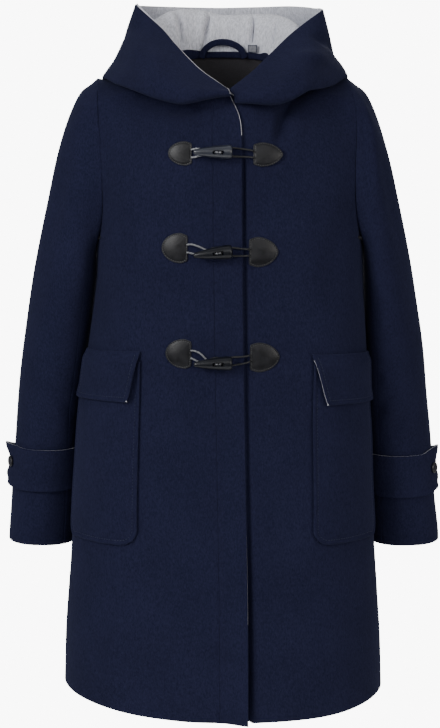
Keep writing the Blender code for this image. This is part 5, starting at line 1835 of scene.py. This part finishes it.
def make_fastening(number, row):
    """Toggle, two patches, the toggle's cord and the loop; the first one is lighter and flatter. The cords
    are painted lighter as a highlight and the loops darker as shade.
    """
    z, right_x, right_z, left_x, left_z, tilt, right_w, left_w, high = row
    first = number == 1
    middle, axis = make_toggle("toggle_%d" % number, HORN if first else HORN_DARK, z, tilt)
    crown = 0.7 if first else 1.0
    make_patch("patch_right_%d" % number, -1, right_x, right_z, right_w, high, crown)
    make_patch("patch_left_%d" % number, 1, left_x, left_z, left_w, high, crown)
    low = CORD_R + 0.7
    hole_a = middle + axis * TOGGLE_HOLES[0]
    hole_b = middle + axis * TOGGLE_HOLES[1]
    start = right_x + right_w / 2 - 1.5

    def up(base, height):
        return Vector((base.x, over_front(base.x, base.z, height).y, base.z))

    mouth = TOGGLE_HEIGHT + 4.3
    enter = hole_a + axis * 1.1
    leave = hole_b - axis * 1.1
    arch = 1.5 if first else 5.5
    path = [
        over_front(start, right_z + 5.0, low + 1.4),
        over_front(start + 6.0, lerp(right_z, z, 0.2) + 5.4 + arch * 0.2, low + 2.4),
        over_front(start + 13.0, lerp(right_z, z, 0.5) + 4.0 + arch * 0.35, low + 2.6),
        over_front(hole_a.x - 9.0, hole_a.z + 2.4, low + 0.6),
        over_front(hole_a.x - 2.6, hole_a.z + 1.0, low + 0.4),
        over_front(hole_a.x - 0.6, hole_a.z + 0.2, low + 1.6),
        up(hole_a, low + 4.2),
        up(enter, TOGGLE_HEIGHT - 1.0),
        up(enter, mouth - 2.4),
        up(enter.lerp(leave, 0.14), mouth - 1.0),
        up(enter.lerp(leave, 0.28), mouth + 0.3),
        up(enter.lerp(leave, 0.52), mouth - 2.6),
        up(enter.lerp(leave, 0.76), mouth - 0.4),
        up(enter.lerp(leave, 0.88), mouth - 1.6),
        up(leave, mouth - 3.0),
        up(leave, TOGGLE_HEIGHT - 1.0),
        up(hole_b, low + 3.6),
        over_front(hole_b.x - 0.6, hole_b.z - 0.3, low + 1.2),
        over_front(hole_b.x - 3.0, hole_b.z - 1.6, low + 0.2),
        over_front(hole_a.x - 1.0, hole_a.z - 4.0, low + 0.2),
        over_front(start + 12.0, lerp(right_z, z, 0.6) - 4.0, low + 1.6),
        over_front(start + 5.0, lerp(right_z, z, 0.2) - 4.6, low + 2.0),
        over_front(start, right_z - 4.6, low + 1.4),
    ]
    # painted highlight: the toggle's cord is painted in lighter greys, the lightest on the first
    make_cord("toggle_cord_%d" % number, path, 7, CORD_PAINTED_LIT if first else CORD_PAINTED_HALF_LIT)
    begin = left_x - left_w / 2 + 1.5
    neck_x = hole_a.x - 5.6
    loop = [
        over_front(begin, left_z + 4.0, low - LAP),
        over_front(begin - 7.0, lerp(left_z, z, 0.4) + 4.6, low + 1.6),
        over_front(hole_b.x + 3.0, hole_b.z + 5.6, low + 1.0),
        over_front(hole_a.x + 1.0, hole_a.z + 6.0, low + 2.4),
        over_front(neck_x + 0.6, hole_a.z + 4.4, low + 3.1),
        over_front(neck_x - 0.6, hole_a.z, low + 3.3),
        over_front(neck_x + 0.6, hole_a.z - 4.4, low + 3.1),
        over_front(hole_a.x + 1.0, hole_a.z - 6.2, low + 2.4),
        over_front(hole_b.x + 3.0, hole_b.z - 6.0, low + 1.0),
        over_front(begin - 7.0, lerp(left_z, z, 0.4) - 4.2, low + 1.6),
        over_front(begin, left_z - 4.0, low - LAP),
    ]
    # painted shade: the loop is painted near-black
    make_cord("fastening_loop_%d" % number, loop, 9, CORD_PAINTED_SHADE)


BUTTON_AT = {"right": 8.9, "left": 8.7}
BUTTON_PROFILE = (
    # along, radius
    (0.0, 1.0),
    (0.0, BUTTON_R - 2.0),
    (0.5, BUTTON_R - 0.7),
    (1.2, BUTTON_R - 0.1),
    (2.0, BUTTON_R),
    (2.8, BUTTON_R - 0.3),
    (BUTTON_T, BUTTON_R - 1.1),
    (BUTTON_T, BUTTON_R - 1.9),
    (BUTTON_T - 0.7, BUTTON_R - 2.7),
    (BUTTON_T - 1.3, BUTTON_R - 3.8),
    (BUTTON_T - 1.5, 2.0),
    (BUTTON_T - 1.5, 0.8),
)


HOLE_AT = 1.6
THREAD_HOLE_R = 0.75


def make_button(label):
    g = 0.62
    z = lerp(STRAP_BOTTOM, STRAP_TOP, g) + STRAP_DROP[label]
    lift = strap_lift(label, BUTTON_AT[label], g) + STRAP_WALL + 0.4
    here, n = on_sleeve(label, BUTTON_AT[label], z, lift)
    here = Vector(here)
    axis = Vector(n)
    button = build("cuff_button_" + label, *lathe_mesh(BUTTON_PROFILE, here, axis, 40), [BUTTON])
    weld(button, 1e-7)
    across = axis.cross(Vector((0, 1, 0))).normalized()
    up = axis.cross(across)
    holes = [here + across * (HOLE_AT * a) + up * (HOLE_AT * b)
             for a, b in ((1, 1), (1, -1), (-1, 1), (-1, -1))]
    for centre in holes:
        cut(button, lathe_mesh(((-1.0, THREAD_HOLE_R), (6.0, THREAD_HOLE_R)), centre, axis, 14))
    shade(button)
    finish_piece(button, ["cuff_button_" + label])
    top = BUTTON_T - 1.5
    verts = []
    faces = []
    for a, b in ((0, 3), (1, 2)):
        start = holes[a]
        end = holes[b]
        pts = [start + axis * (top - 1.6), start + axis * (top - 0.2),
               start.lerp(end, 0.15) + axis * (top + 0.4), start.lerp(end, 0.85) + axis * (top + 0.4),
               end + axis * (top - 0.2), end + axis * (top - 1.6)]
        join(verts, faces, tube_mesh(refine(pts, 4), 0.42, 7))
    finish_piece(build("cuff_button_thread_" + label, verts, faces, [THREAD_NAVY]), [])


# ---------------------------------------------------------------- floor and light
FLOOR_RADIUS = 1.45
FLOOR_Z = -1.5
FLOOR_SIDES = 96
WHITE = (1.0, 1.0, 1.0)
AIM = Vector((0.0, 0.0, -0.35))
BACKDROP = 9.0
LIGHTS = (
    # name, place, size, power, tint
    ("key", (-2.00, -2.20, 1.00), 1.1, 46.0, WHITE),
    ("box", (-1.80, -2.30, 0.00), 0.9, 15.0, WHITE),
    ("fill", (2.20, -2.40, 0.40), 1.8, 36.0, (1.0, 0.95, 0.89)),
    ("front", (0.10, -3.00, 1.10), 1.5, 8.0, WHITE),
    ("back", (0.3, 3.00, 0.60), 1.6, 60.0, WHITE),
    ("top", (-0.3, 0.3, 2.4), 2.0, 5.0, WHITE),
)


def make_floor():
    mesh = bpy.data.meshes.new("floor")
    rim = [2 * math.pi * k / FLOOR_SIDES for k in range(FLOOR_SIDES)]
    spots = [(FLOOR_RADIUS * math.cos(a), FLOOR_RADIUS * math.sin(a), FLOOR_Z) for a in rim]
    mesh.from_pydata(spots, [], [list(range(FLOOR_SIDES))])
    mesh.materials.append(plain_look("floor_pale", 0.90, 0.93, 0.9, 2.0, 2.0))
    floor = bpy.data.objects.new("floor", mesh)
    bpy.context.scene.collection.objects.link(floor)


def make_world():
    """White behind the coat; what lights it is dim from below and brighter from above."""
    world = bpy.data.worlds.new("studio")
    world.use_nodes = True
    tree = world.node_tree
    backdrop = tree.nodes["Background"]
    put(backdrop, {"Color": (*WHITE, 1.0), "Strength": BACKDROP})
    dome = node(tree, "ShaderNodeBackground", {"Color": (*WHITE, 1.0)})
    split = node(tree, "ShaderNodeSeparateXYZ")
    tree.links.new(node(tree, "ShaderNodeTexCoord").outputs["Generated"], split.inputs[0])
    level = node(tree, "ShaderNodeMapRange",
                 {"From Min": -0.6, "From Max": 0.3, "To Min": 0.06, "To Max": 0.40})
    tree.links.new(split.outputs["Z"], level.inputs["Value"])
    tree.links.new(level.outputs["Result"], dome.inputs["Strength"])
    pick = node(tree, "ShaderNodeMixShader")
    tree.links.new(node(tree, "ShaderNodeLightPath").outputs["Is Camera Ray"], pick.inputs[0])
    tree.links.new(dome.outputs[0], pick.inputs[1])
    tree.links.new(backdrop.outputs[0], pick.inputs[2])
    tree.links.new(pick.outputs[0], tree.nodes["World Output"].inputs["Surface"])
    bpy.context.scene.world = world


def make_lights():
    for name, place, size, power, tint in LIGHTS:
        data = bpy.data.lights.new(name, "AREA")
        data.color = tint
        data.size = size
        data.energy = power
        obj = bpy.data.objects.new(name, data)
        obj.location = place
        obj.rotation_euler = (AIM - Vector(place)).to_track_quat("-Z", "Y").to_euler()
        bpy.context.scene.collection.objects.link(obj)


# ---------------------------------------------------------------- the whole coat
make_back()
make_front("right", -1)
make_front("left", 1)
make_stand()
make_hood()
make_neck()
for label, side in (("right", -1), ("left", 1)):
    make_sleeve(label, side)
    make_strap(label, side)
    make_button(label)
    make_pocket(label, side)
    make_flap(label, side)
for number, row in enumerate(FASTENINGS):
    make_fastening(number + 1, row)
make_floor()
make_world()
make_lights()
